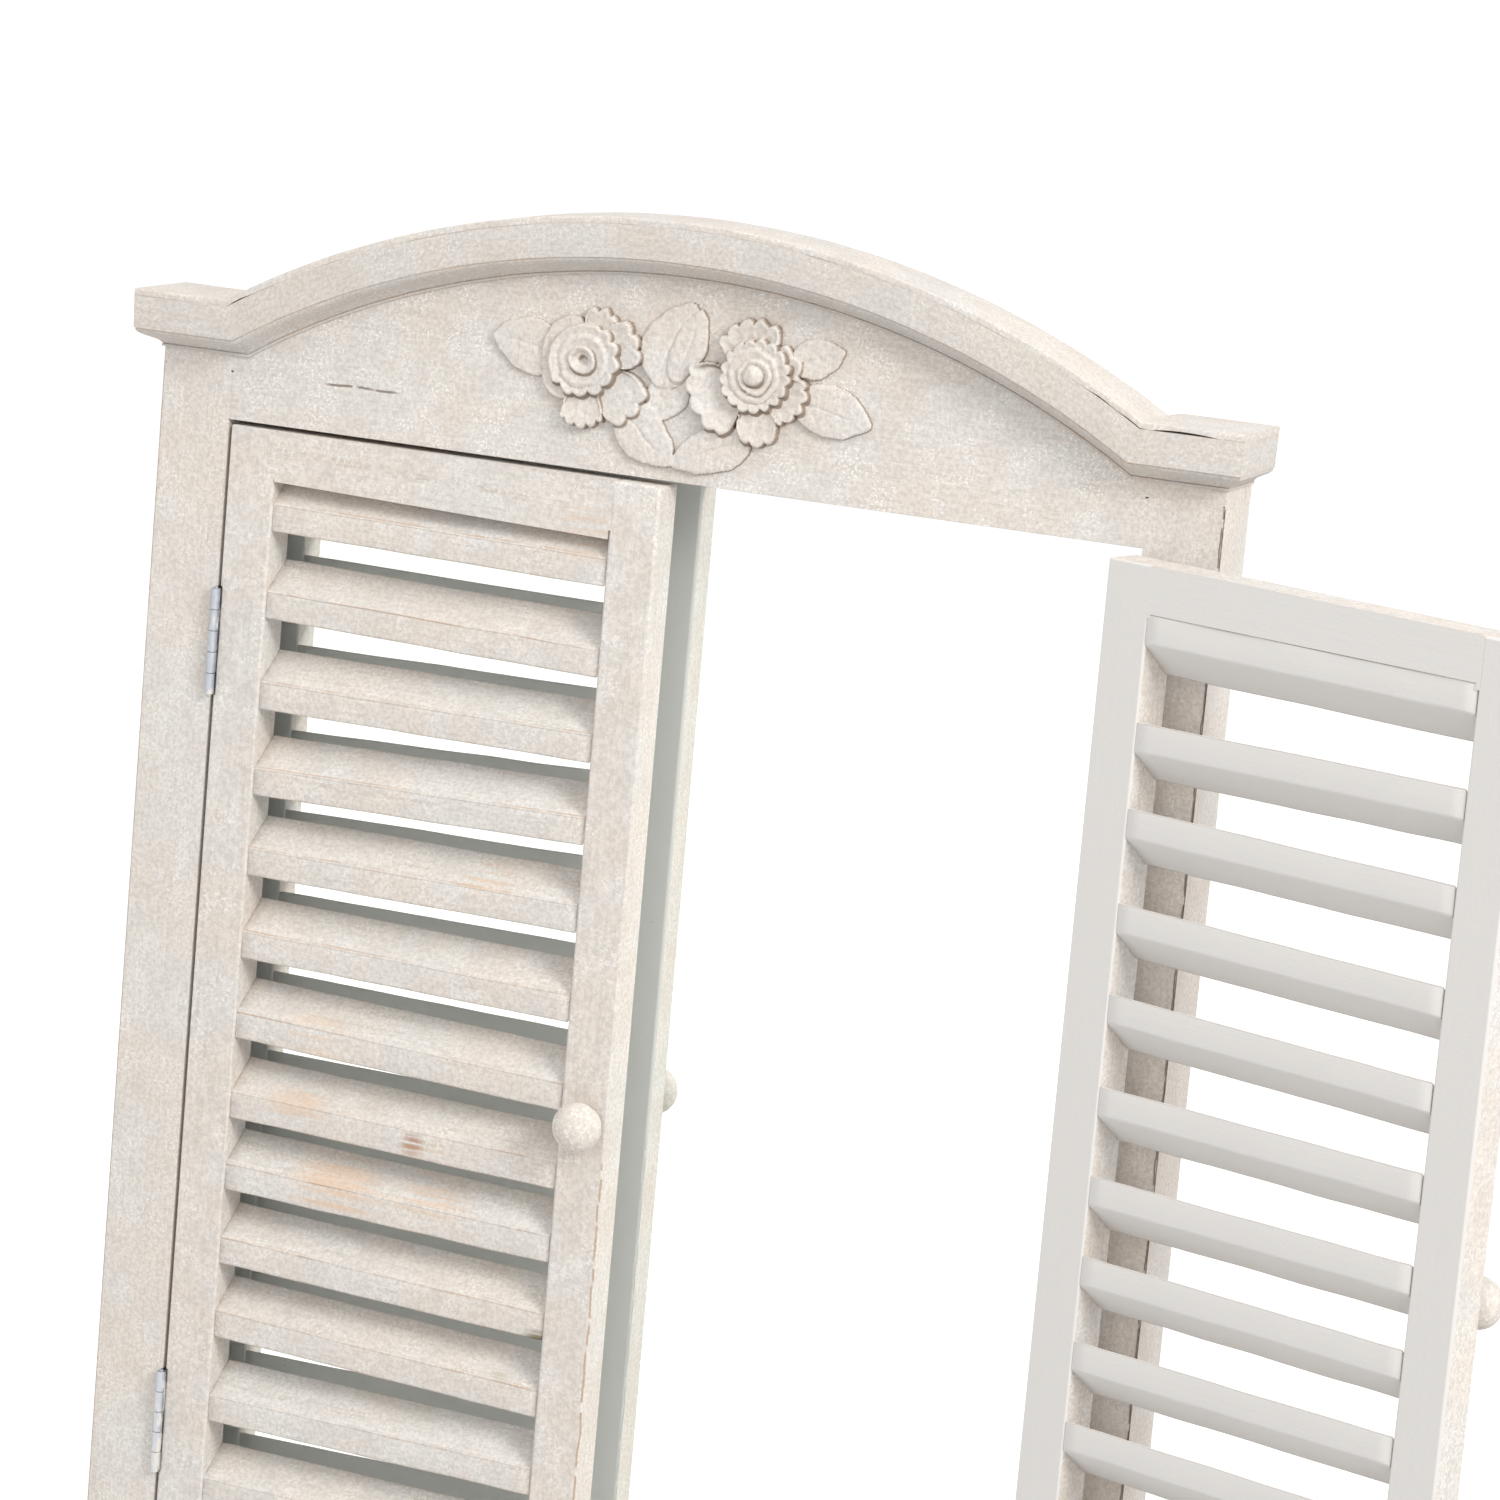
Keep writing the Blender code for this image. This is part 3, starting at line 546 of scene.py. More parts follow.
def build_cap(material):
    """The thin lath bent over the moulding; its flat ends reach back to the wall."""
    front = FRONT - MOULDING_PROJECTION
    low = MOULDING_HEIGHT
    high = MOULDING_HEIGHT + 0.3 * MM + CAP_THICKNESS
    section = [(front, low), (front, high), (CAP_BACK, high), (CAP_BACK, low)]
    profile = rounded(section, (0.15 * MM, 0.9 * MM, 0.8 * MM, 0.15 * MM))
    edge = HALF_WIDTH + RETURN_PROJECTION
    bm = bmesh.new()

    def flat(sign, share):
        def place(y, height):
            in_front = y < (front + CAP_BACK) / 2
            depth = y if in_front or share > 0.96 else y - CAP_BACK
            return sign * (edge * (1 - share) + junction_x(height) * share), depth, FLAT_LINE + height
        return place

    def arch(share):
        def place(y, height):
            x, z = arch_place(share, height)
            return x, y, z
        return place

    stations = [flat(-1, step / CAP_FLAT_STEPS) for step in range(CAP_FLAT_STEPS)]
    stations += [arch(step / ARCH_STEPS) for step in range(ARCH_STEPS + 1)]
    stations += [flat(1, 1 - step / CAP_FLAT_STEPS) for step in range(1, CAP_FLAT_STEPS + 1)]
    lengths = [0.0]
    middle = (0.0, low)
    for first, second in zip(stations, stations[1:]):
        lengths.append(lengths[-1] + (Vector(second(*middle)) - Vector(first(*middle))).length)
    sweep(bm, profile, stations, lengths)
    roughen(bm, 60, (0.0, 0.40 * MM, 0.125 * MM))
    half_way = (low + high) / 2
    for vert in bm.verts:
        radial = Vector((vert.co.x, 0.0, vert.co.z - ARCH_CENTRE)).length - ARCH_RADIUS
        flat_height = vert.co.z - FLAT_LINE
        height = radial if abs(vert.co.x) < junction_x(half_way) else flat_height
        if height < half_way:
            vert.co.z += lift_of(vert.co.x)
    new_piece("cornice_cap_worn", bm, material, "frame", ["cornice_cap"], 35)


# ---- carved roses ---------------------------------------------------------
def smooth(value, low, high):
    """0 below low, 1 above high, with an eased step between."""
    share = np.clip((value - low) / (high - low), 0.0, 1.0)
    return share * share * (3 - 2 * share)


def round_heart(x, z, heart):
    """Distance and direction from a rose's heart."""
    return np.hypot(x - heart[0], z - heart[1]), np.arctan2(z - heart[1], x - heart[0])


def fan(x, z, heart, petal):
    """One outer petal: a shallow bowl with a curled, scalloped rim."""
    distance, direction = round_heart(x, z, heart)
    half = math.radians(petal["half"])
    away = (direction - math.radians(petal["middle"]) + math.pi) % math.tau - math.pi
    share = away / half
    scallop = np.abs(np.cos(share * math.pi * petal["lobes"] / 2)) ** 0.8
    rim = petal["reach"] * (1 - 0.13 * share ** 2) + 2.1 * scallop - 1.3
    rim = rim * np.sqrt(np.clip(1.06 - np.abs(share) ** 9, 0.0, 1.0))
    t = distance / np.maximum(rim, 0.5)
    flutes = 0.30 * (scallop - 0.5) * smooth(t, 0.72, 0.97)
    height = petal["base"] + petal["rise"] * np.clip(t, 0.0, 1.0) ** 3.2 + flutes
    edge = np.sqrt(np.clip((1.0 - t) / 0.045, 0.0, 1.0))
    return np.where((t < 1.0) & (np.abs(share) < 1.0), height * (0.5 + 0.5 * edge), 0.0)


def ruffle(x, z, heart, reach, lobes, base, rise, start=0.0, end=360.0, turn=0.0):
    """A full ring of petal, scalloped between two directions and plain elsewhere."""
    distance, direction = round_heart(x, z, heart)
    past = (np.degrees(direction) - start) % 360
    frilled = smooth(past, 0, 15) * smooth(end - start - past, 0, 15) if end - start < 360 else 1.0
    scallop = np.abs(np.cos(direction * lobes / 2 + turn)) ** 0.8
    rim = reach * (1 + 0.035 * np.sin(2 * direction + turn)) + frilled * (2.0 * scallop - 1.2)
    t = distance / rim
    flutes = 0.25 * frilled * (scallop - 0.5) * smooth(t, 0.7, 0.95)
    height = base + rise * np.clip(t, 0.0, 1.0) ** 2.6 + flutes
    edge = np.sqrt(np.clip((1.0 - t) / 0.07, 0.0, 1.0))
    return np.where(t < 1.0, height * (0.6 + 0.4 * edge), 0.0)


def coil(x, z, heart, reach, base, rise, start=0.0):
    """A plain rolled petal: a ring that winds in slightly round the heart."""
    distance, direction = round_heart(x, z, heart)
    winding = reach * (1 - 0.09 * (((direction - math.radians(start)) / math.tau) % 1.0))
    t = distance / winding
    height = base + rise * np.clip(t, 0.0, 1.0) ** 2
    edge = np.sqrt(np.clip((1.0 - t) / 0.16, 0.0, 1.0))
    return np.where(t < 1.0, height * (0.7 + 0.3 * edge), 0.0)


def leaf(x, z, shape):
    """A rounded leaf with a raised rim, a shallow midrib and faint side veins."""
    root = np.array(shape["root"])
    axis = np.array(shape["tip"]) - root
    length = np.hypot(*axis)
    forward = axis / length
    s = ((x - root[0]) * forward[0] + (z - root[1]) * forward[1]) / length
    t = (z - root[1]) * forward[0] - (x - root[0]) * forward[1]
    t = t - shape["lean"] * np.sin(np.clip(s, 0, 1) * math.pi)
    half = shape["width"] / 2 * np.sin(np.clip(s, 0.0, 1.0) ** 0.8 * math.pi) ** 0.62
    q = np.abs(t) / np.maximum(half, 0.001)
    inside = (s > 0) & (s < 1) & (q < 1)
    body = shape["height"] * (0.66 + 0.34 * np.clip(1 - q ** 4, 0, 1) ** 0.5)
    dish = -0.45 * np.clip(1 - q ** 2, 0, 1) * np.sin(np.clip(s, 0, 1) * math.pi)
    midrib = -0.42 * np.exp(-(t / 0.5) ** 2) * smooth(s, 0.02, 0.2) * smooth(-s, -0.85, -0.6)
    veins = -0.10 * np.clip(np.cos((s * 5.5 - q * 1.3) * math.tau), 0, 1) ** 3 * smooth(q, 0.1, 0.4)
    return np.where(inside, np.maximum(body + dish + midrib + veins, 0.5), 0.0)


# millimetres from the middle of the opening's top edge; directions in degrees
LEAVES = (
    {"root": (-56, 46), "tip": (-89, 54), "width": 24.5, "lean": -1.6, "height": 2.2},
    {"root": (-10, 41), "tip": (5.5, 78), "width": 27.5, "lean": 1.5, "height": 2.3},
    {"root": (-2, 44), "tip": (9, 76), "width": 15.0, "lean": -1.0, "height": 3.0},
    {"root": (52, 56), "tip": (76, 65.5), "width": 17.5, "lean": 1.0, "height": 2.2},
    {"root": (55, 42), "tip": (90.5, 35.5), "width": 23.0, "lean": 0.5, "height": 2.5},
    {"root": (-26, 31), "tip": (0.3, 7.4), "width": 23.0, "lean": -1.5, "height": 2.6},
    {"root": (36, 22), "tip": (-0.3, 7.6), "width": 20.0, "lean": -1.0, "height": 2.6},
    {"root": (-12, 28), "tip": (8, 50), "width": 19.0, "lean": 1.0, "height": 1.9},
)
ROSES = (
    {
        "heart": (-43.9, 48.2),
        "fans": (
            {"middle": 152, "half": 66, "reach": 20.5, "lobes": 1, "base": 2.0, "rise": 1.6},
            {"middle": 222, "half": 44, "reach": 22.5, "lobes": 2, "base": 2.2, "rise": 1.4},
            {"middle": 70, "half": 24, "reach": 24.2, "lobes": 3, "base": 2.3, "rise": 2.6},
            {"middle": 24, "half": 34, "reach": 27.0, "lobes": 4, "base": 2.5, "rise": 2.2},
            {"middle": 322, "half": 30, "reach": 33.2, "lobes": 4, "base": 2.0, "rise": 2.4},
            {"middle": 272, "half": 27, "reach": 29.8, "lobes": 5, "base": 2.4, "rise": 2.8},
        ),
        "ruffles": ((16.2, 13, 4.0, 2.4, 205, 430, 0.6),),
        "coils": ((12.6, 4.2, 2.6, 215), (6.6, 4.6, 3.2, 120)),
        "ball": (2.7, 6.2, -3.0),
    },
    {
        "heart": (36.8, 50.6),
        "fans": (
            {"middle": 20, "half": 40, "reach": 20.5, "lobes": 3, "base": 2.0, "rise": 1.6},
            {"middle": 106, "half": 52, "reach": 24.0, "lobes": 6, "base": 2.2, "rise": 3.2},
            {"middle": 330, "half": 36, "reach": 25.2, "lobes": 5, "base": 2.5, "rise": 2.8},
            {"middle": 211, "half": 42, "reach": 33.0, "lobes": 5, "base": 1.2, "rise": 4.6},
            {"middle": 276, "half": 26, "reach": 29.8, "lobes": 4, "base": 2.6, "rise": 2.8},
        ),
        "ruffles": ((15.8, 17, 4.2, 2.6, 0, 360, 0.2),),
        "coils": ((12.4, 4.4, 2.8, 80), (8.2, 4.8, 3.4, 250)),
        "ball": (4.7, 6.2, 3.0),
    },
)


def carving_heights(x, z):
    """Relief of the spray, in millimetres above the pediment board."""
    heights = np.zeros_like(x)
    for shape in LEAVES:
        heights = np.maximum(heights, leaf(x, z, shape))
    for rose in ROSES:
        heart = rose["heart"]
        for petal in rose["fans"]:
            layer = fan(x, z, heart, petal)
            heights = np.where(layer > 0.6, np.maximum(layer, heights * 0.72), heights)
        for reach, lobes, base, rise, start, end, turn in rose["ruffles"]:
            layer = ruffle(x, z, heart, reach, lobes, base, rise, start, end, turn)
            heights = np.where(layer > 0, layer, heights)
        for reach, base, rise, start in rose["coils"]:
            layer = coil(x, z, heart, reach, base, rise, start)
            heights = np.where(layer > 0, layer, heights)
        radius, base, swell = rose["ball"]
        distance, _ = round_heart(x, z, heart)
        dome = base + swell * np.sqrt(np.clip(1 - (distance / radius) ** 2, 0.0, 1.0))
        heights = np.where(distance < radius, dome, heights)
    return heights


def build_roses(material):
    """The carved spray, as one relief on a fine grid with a flat back."""
    pitch = 0.42
    low = (-92.0, 2.0)
    size = (186.0, 80.0)
    columns, rows = (round(length / pitch) for length in size)
    bm = bmesh.new()
    carving_shade_layer = bm.verts.layers.float.new("carving_shade")
    bmesh.ops.create_grid(bm, x_segments=columns, y_segments=rows, size=0.5)
    verts = list(bm.verts)
    flat = np.array([vert.co[:2] for vert in verts]) + 0.5
    x = low[0] + flat[:, 0] * size[0]
    z = low[1] + flat[:, 1] * size[1]
    uneven = np.array([noise.noise_vector(Vector((a * 0.16, b * 0.16, 5.0)))[:2] for a, b in zip(x, z)])
    heights = carving_heights(x + 0.9 * uneven[:, 0], z + 0.9 * uneven[:, 1])
    chisel = np.array([noise.noise(Vector((a * 0.33, b * 0.33, 3.0))) for a, b in zip(x, z)])
    heights = np.where(heights > 0.3, heights + 0.25 * chisel, 0.0)

    # how far each place lies below what is carved close by, counting most what lies above and to its left:
    # painted shade and dirt below and right of raised carving
    column = np.rint(flat[:, 0] * columns).astype(int)
    row = np.rint(flat[:, 1] * rows).astype(int)
    field = np.zeros((rows + 1, columns + 1))
    field[row, column] = heights
    drop = np.zeros_like(field)
    for across in (-1, 0, 1, 2):
        for up in (-3, -2, -1, 0, 1):
            weight = 1.0 if across >= 0 and up <= 0 else 0.35
            drop = np.maximum(drop, weight * (np.roll(field, (up, across), (0, 1)) - field))
    shade_under_carving = np.clip(drop[row, column] / 2.0, 0.0, 1.0)

    for vert, a, b, height, depth in zip(verts, x, z, heights, shade_under_carving):
        vert.co = (a * MM, FRONT - height * MM, OPENING_TOP + b * MM)
        vert[carving_shade_layer] = depth
    bare = [face for face in bm.faces if all(FRONT - vert.co.y < 0.2 * MM for vert in face.verts)]
    bmesh.ops.delete(bm, geom=bare, context="FACES")
    inner = [vert for vert in bm.verts if not vert.is_boundary]
    bmesh.ops.smooth_vert(bm, verts=inner, factor=0.30, use_axis_x=True, use_axis_y=True, use_axis_z=True)
    raised = bmesh.ops.extrude_face_region(bm, geom=list(bm.faces), use_keep_orig=True)
    copies = {item for item in raised["geom"] if isinstance(item, bmesh.types.BMVert)}
    for vert in bm.verts:
        if vert not in copies:
            vert.co.y = FRONT - HAIR
    new_piece("carved_roses", bm, material, "frame", ["rose_applique"], 65)


# ---- knobs ----------------------------------------------------------------
def build_knob(shutter, material):
    """A ball knob on a flared foot, turned a little out of true."""
    low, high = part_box(f"{shutter}_shutter_knob")
    radius = 11.2 * MM
    profile = [(0.0, 0.0), (6.4 * MM, 0.0), (7.2 * MM, 0.6 * MM), (7.2 * MM, 1.4 * MM), (6.4 * MM, 2.3 * MM),
               (5.5 * MM, 3.1 * MM), (5.3 * MM, 4.0 * MM)]
    ball_height = 10.6 * MM
    ball_start = 58
    steps = 18
    for step in range(steps + 1):
        angle = math.radians(-ball_start + (90 + ball_start) * step / steps)
        reach = radius * math.cos(angle) if step < steps else 0.0
        profile.append((reach, ball_height + radius * 0.82 * math.sin(angle)))
    bm = turned_solid(profile, 40)
    roughen(bm, 120, (0.18 * MM, 0.18 * MM, 0.18 * MM))
    side = SIDES[shutter]
    x = side * (INNER_X - HINGE_SIDE_GAP - KNOB_FROM_HINGE)
    place = Matrix.Translation((x, FRONT - 0.3 * MM, (low.z + high.z) / 2))
    bmesh.ops.transform(bm, matrix=place @ Matrix.Rotation(math.radians(90), 4, "X"), verts=bm.verts)
    swing(bm, shutter)
    new_piece(f"{shutter}_knob_turned", bm, material, JOINTS[shutter]["child"], [f"{shutter}_shutter_knob"],
              40)


# ---- joints filled with paint ---------------------------------------------
def build_fillers(upright, level):
    """Paint that bridges the joints of the frame's front, and the posts' heads behind the pediment board."""
    half = 0.75 * MM
    board_back = BOARD_HIGH.y
    face = FRONT + HAIR
    seam_end = HALF_WIDTH - 0.8 * MM
    strips = {"header_seam": ((-seam_end, seam_end), (HEADER_SEAM - half, HEADER_SEAM + half), level)}
    for name, side in SIDES.items():
        outer = side * (HALF_WIDTH - HAIR)
        head_x = sorted((outer, side * (HALF_WIDTH - 8 * MM)))
        head = block((head_x[0], board_back + 0.3 * MM, BOARD_BOTTOM - half),
                     (head_x[1], -HAIR, FLAT_LINE + 1.5 * MM))
        new_piece(f"{name}_post_head", head, upright, "frame")
        seam_x = sorted((outer, side * (HALF_WIDTH - 1.2 * MM)))
        side_seam = block((seam_x[0], face, HEADER_SEAM - half),
                          (seam_x[1], board_back + 0.4 * MM, HEADER_SEAM + half))
        new_piece(f"{name}_post_seam", side_seam, upright, "frame")
        joint_x = sorted((side * (INNER_X - HALF_JOINT - half), side * (INNER_X - HALF_JOINT + half)))
        strips[f"{name}_header_joint"] = (joint_x, (OPENING_TOP + 0.4 * MM, HEADER_SEAM), upright)
        strips[f"{name}_sill_joint"] = (joint_x, (SILL_LOW.z + 0.4 * MM, OPENING_BOTTOM - 0.4 * MM), upright)
    for name, ((x0, x1), (z0, z1), material) in strips.items():
        new_piece(name, block((x0, face, z0), (x1, FRONT + 1.2 * MM, z1)), material, "frame")


def build_shutter_fillers(shutter, material):
    """Paint in the joints between a shutter's stiles and rails."""
    side = SIDES[shutter]
    half = 1.1 * MM
    hinge_edge = side * (INNER_X - HINGE_SIDE_GAP)
    top = OPENING_TOP - SHUTTER_CLEARANCE
    bottom = OPENING_BOTTOM + SHUTTER_CLEARANCE
    levels = {"top": (top - 22 * MM, top - 0.4 * MM), "bottom": (bottom + 0.4 * MM, bottom + 24 * MM)}
    from_hinge = {
        "hinge": STILE_WIDTH + HALF_JOINT,
        "free": SHUTTER_WIDTH - STILE_WIDTH - HALF_JOINT,
    }
    front = FRONT + HAIR
    back = FRONT + SHUTTER_THICKNESS - HAIR
    for end, (z0, z1) in levels.items():
        for where, distance in from_hinge.items():
            x = hinge_edge - side * distance
            bm = block((x - half, front, z0), (x + half, back, z1))
            swing(bm, shutter)
            new_piece(f"{shutter}_{end}_{where}_joint", bm, material, JOINTS[shutter]["child"])


# ---- louvre slats ---------------------------------------------------------
def middle_of(verts, axis):
    places = [vert.co[axis] for vert in verts]
    return sum(places) / len(places)


def build_slat(shutter, node_name, material):
    """A slat with soft arrises, bedded in paint at the hinge stile and sitting free at the other end."""
    obj = frame["nodes"][node_name]
    side = SIDES[shutter]
    bm = bmesh.new()
    bm.from_mesh(obj.data)
    bmesh.ops.transform(bm, matrix=obj.matrix_world, verts=bm.verts)
    bmesh.ops.remove_doubles(bm, verts=bm.verts, dist=WELD)
    swing(bm, shutter, -1)
    bmesh.ops.dissolve_limit(bm, angle_limit=math.radians(1), verts=bm.verts, edges=bm.edges)

    # the hinge end goes into its stile's paint
    hinge_end = max(side * vert.co.x for vert in bm.verts)
    long_edges = [edge for edge in bm.edges
                  if abs(edge.verts[0].co.x - edge.verts[1].co.x) > 100 * MM
                  and edge.calc_face_angle(0.0) > math.radians(12)]
    for vert in bm.verts:
        if side * vert.co.x > hinge_end - 5 * MM:
            vert.co.x += side * 0.6 * MM

    # the crease between the slope and the front face is worn rounder than the other arrises
    level = middle_of(bm.verts, 2)
    middle = middle_of(bm.verts, 1)
    creases = [edge for edge in long_edges
               if middle_of(edge.verts, 2) > level - 2 * MM and middle_of(edge.verts, 1) < middle]
    arrises = [edge for edge in long_edges if edge not in creases]
    start, end = sorted((vert.co.copy() for vert in creases[0].verts), key=lambda place: place.x)
    bmesh.ops.bevel(bm, geom=creases, affect="EDGES", offset=3.0 * MM, segments=5, profile=0.5, material=-1)
    arrises = [edge for edge in arrises if edge.is_valid]
    bmesh.ops.bevel(bm, geom=arrises, affect="EDGES", offset=0.8 * MM, segments=3, profile=0.5, material=-1)
    if node_name.endswith("_01"):
        # painted up against the underside of the top rail
        for vert in bm.verts:
            if vert.co.y > FRONT + SHUTTER_THICKNESS - 3 * MM:
                vert.co.z += 0.9 * MM

    sections = 24
    xs = [vert.co.x for vert in bm.verts]
    low, high = min(xs), max(xs)
    for section in range(1, sections):
        x = low + (high - low) * section / sections
        bmesh.ops.bisect_plane(bm, geom=bm.verts[:] + bm.edges[:] + bm.faces[:], dist=0.001 * MM,
                               plane_co=(x, 0, 0), plane_no=(1, 0, 0))
    arris = bm.verts.layers.float.new("arris")
    for vert in bm.verts:
        on_crease = start.lerp(end, (vert.co.x - start.x) / (end.x - start.x))
        vert[arris] = max(0.0, 1.0 - (vert.co - on_crease).length / (2.2 * MM))
    roughen(bm, 38, (0.0, 0.30 * MM, 0.30 * MM))
    swing(bm, shutter)
    new_piece(f"{node_name}_worn", bm, material, JOINTS[shutter]["child"], [node_name], 50)


# ---- ironmongery ----------------------------------------------------------
def screw_head(radius, slot_width):
    """A countersunk head with a cross slot, its face at z = 0."""
    profile = [(0.0, -1.0 * MM), (radius * 0.5, -1.0 * MM), (radius, -0.12 * MM), (radius * 0.94, 0.0),
               (0.0, 0.05 * MM)]
    bm = turned_solid(profile, 20)
    for turn in (0, 90):
        arm = block((-radius * 0.62, -slot_width / 2, 0.02 * MM), (radius * 0.62, slot_width / 2, 0.10 * MM))
        bmesh.ops.rotate(arm, verts=arm.verts, matrix=Matrix.Rotation(math.radians(turn), 3, "Z"))
        arm_mesh = bpy.data.meshes.new("slot")
        arm.to_mesh(arm_mesh)
        arm.free()
        bm.from_mesh(arm_mesh)
        bpy.data.meshes.remove(arm_mesh)
    return bm


def build_hangers(metal):
    """Screws and hanging rings on the strap plates behind the pediment."""
    for name in SIDES:
        low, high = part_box(f"{name}_hanger_plate")
        x = (low.x + high.x) / 2
        face = high.y
        for number, share in ((1, 0.30), (2, 0.62)):
            bm = screw_head(2.6 * MM, 0.5 * MM)
            place = Matrix.Translation((x, face + 0.05 * MM, low.z + (high.z - low.z) * share))
            bmesh.ops.transform(bm, matrix=place @ Matrix.Rotation(math.radians(-90), 4, "X"), verts=bm.verts)
            new_piece(f"{name}_hanger_screw_{number}", bm, metal, "frame", smooth_angle=30)
        ring = bmesh.new()
        section = bmesh.ops.create_circle(ring, segments=12, radius=1.0 * MM)["verts"]
        bmesh.ops.rotate(ring, verts=section, matrix=Matrix.Rotation(math.radians(90), 3, "X"))
        bmesh.ops.translate(ring, verts=section, vec=(7.5 * MM, 0, 0))
        bmesh.ops.spin(ring, geom=section + list(ring.edges), cent=(0, 0, 0), axis=(0, 0, 1), angle=math.tau,
                       steps=40, use_merge=True)
        bmesh.ops.remove_doubles(ring, verts=ring.verts, dist=WELD)
        place = Matrix.Translation((x, face + 1.3 * MM, high.z + 2.5 * MM))
        bmesh.ops.transform(ring, matrix=place @ Matrix.Rotation(math.radians(90), 4, "X"), verts=ring.verts)
        new_piece(f"{name}_hanging_ring", ring, metal, "frame", smooth_angle=60)


def build_hinge_screws(shutter, metal):
    """Two countersunk screws in each leaf, seen when the shutter stands open."""
    side = SIDES[shutter]
    depth = FRONT + 8.5 * MM
    leaves = (
        ("frame", "frame", side * (INNER_X + HAIR), -side),
        ("shutter", JOINTS[shutter]["child"], side * (INNER_X - HINGE_SIDE_GAP - HAIR), side),
    )
    for height in ("upper", "lower"):
        low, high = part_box(f"{shutter}_{height}_hinge_frame_leaf")
        level = (low.z + high.z) / 2
        for number, rise in ((1, -15 * MM), (2, 15 * MM)):
            for leaf_name, body, x, way in leaves:
                bm = screw_head(2.3 * MM, 0.5 * MM)
                place = Matrix.Translation((x, depth, level + rise))
                turn = Matrix.Rotation(math.radians(90 * way), 4, "Y")
                bmesh.ops.transform(bm, matrix=place @ turn, verts=bm.verts)
                if leaf_name == "shutter":
                    swing(bm, shutter)
                new_piece(f"{shutter}_{height}_{leaf_name}_leaf_screw_{number}", bm, metal, body,
                          smooth_angle=30)


# ---- materials on the CAD nodes -------------------------------------------
def dress(node_name, material):
    """Give a kept CAD node its finish."""
    obj = frame["nodes"][node_name]
    if obj.material_slots:
        for slot in obj.material_slots:
            slot.material = material
    else:
        obj.data.materials.append(material)


def ease(node_name, width):
    """Round a kept CAD node's arrises."""
    obj = frame["nodes"][node_name]
    weld = obj.modifiers.new("welded_faces", "WELD")
    weld.merge_threshold = WELD
    bevel = obj.modifiers.new("eased_edges", "BEVEL")
    bevel.width = width
    bevel.segments = 3
    bevel.limit_method = "ANGLE"
    bevel.angle_limit = math.radians(40)
    bevel.harden_normals = False


def back_direction(shutter):
    """The way a shutter's back faces where the shutter rests."""
    return tuple(Matrix.Rotation(rest_angle(shutter), 3, "Z") @ Vector((0.0, 1.0, 0.0)))


# ---- stage, light and camera ----------------------------------------------
def build_stage():
    bm = bmesh.new()
    bmesh.ops.create_grid(bm, x_segments=1, y_segments=1, size=30.0)
    bmesh.ops.translate(bm, verts=bm.verts, vec=(0.0, 0.0, cad_low.z - 0.2 * MM))
    mesh = bpy.data.meshes.new("studio_floor")
    bm.to_mesh(mesh)
    bm.free()
    mesh.materials.append(floor_paper())
    floor = bpy.data.objects.new("studio_floor", mesh)
    bpy.context.scene.collection.objects.link(floor)
    floor.visible_diffuse = False


def build_light():
    world = bpy.data.worlds.new("studio_air")
    world.use_nodes = True
    background = world.node_tree.nodes["Background"]
    background.inputs["Color"].default_value = (1.0, 0.995, 0.985, 1.0)
    background.inputs["Strength"].default_value = 0.80
    bpy.context.scene.world = world

    def softbox(name, place, aim, size, power, colour=(1.0, 1.0, 1.0)):
        light = bpy.data.lights.new(name, "AREA")
        light.shape = "SQUARE"
        light.size = size
        light.energy = power
        light.color = colour
        obj = bpy.data.objects.new(name, light)
        obj.location = place
        obj.rotation_euler = (Vector(aim) - Vector(place)).to_track_quat("-Z", "Y").to_euler()
        bpy.context.scene.collection.objects.link(obj)

    softbox("key_softbox", (2.6, -1.5, 1.9), (0.0, 0.0, 0.0), 1.0, 68, (1.0, 0.985, 0.96))
    softbox("front_softbox", (0.4, -2.8, 1.5), (0.0, 0.0, 0.0), 2.4, 9, (1.0, 0.995, 0.985))
    softbox("top_softbox", (-0.4, -0.8, 2.8), (0.0, 0.0, 0.0), 2.0, 18)


def build_camera():
    """A long lens from the right, looking a little down and leaning a little."""
    heading, pitch, roll = (math.radians(angle) for angle in (21.382, 10.412, 5.074))
    data = bpy.data.cameras.new("portrait_camera")
    data.sensor_width = 36.0
    data.lens = 128.57
    data.clip_start = 0.1
    data.clip_end = 200.0
    camera = bpy.data.objects.new("portrait_camera", data)
    turn = (Matrix.Rotation(heading, 4, "Z") @ Matrix.Rotation(math.radians(90) - pitch, 4, "X")
            @ Matrix.Rotation(roll, 4, "Z"))
    camera.matrix_world = Matrix.Translation((0.8805, -2.1608, 0.5943)) @ turn
    bpy.context.scene.collection.objects.link(camera)
    bpy.context.scene.camera = camera


# ---- the whole mirror -----------------------------------------------------
# centre, radius, colour and strength of the marks on the left shutter
LEFT_STAINS = (
    ((-0.0955, -0.040, -0.028), 0.008, (0.36, 0.17, 0.09), 0.8),
    ((-0.0865, -0.040, -0.045), 0.026, (0.72, 0.50, 0.33), 0.45),
    ((-0.1330, -0.040, -0.056), 0.030, (0.72, 0.48, 0.31), 0.50),
    ((-0.1560, -0.040, -0.020), 0.022, (0.70, 0.47, 0.31), 0.45),
    ((-0.0260, -0.040, -0.107), 0.009, (0.16, 0.13, 0.06), 0.95),
    ((-0.0440, -0.040, -0.120), 0.009, (0.40, 0.34, 0.13), 0.9),
    ((-0.0360, -0.040, 0.0000), 0.006, (0.20, 0.14, 0.08), 0.8),
    ((-0.0700, -0.040, 0.1020), 0.020, (0.70, 0.50, 0.35), 0.50),
    ((-0.0330, -0.042, 0.2590), 0.022, (0.70, 0.50, 0.35), 0.40),
    ((-0.1500, -0.042, 0.0150), 0.022, (0.72, 0.53, 0.38), 0.45),
)

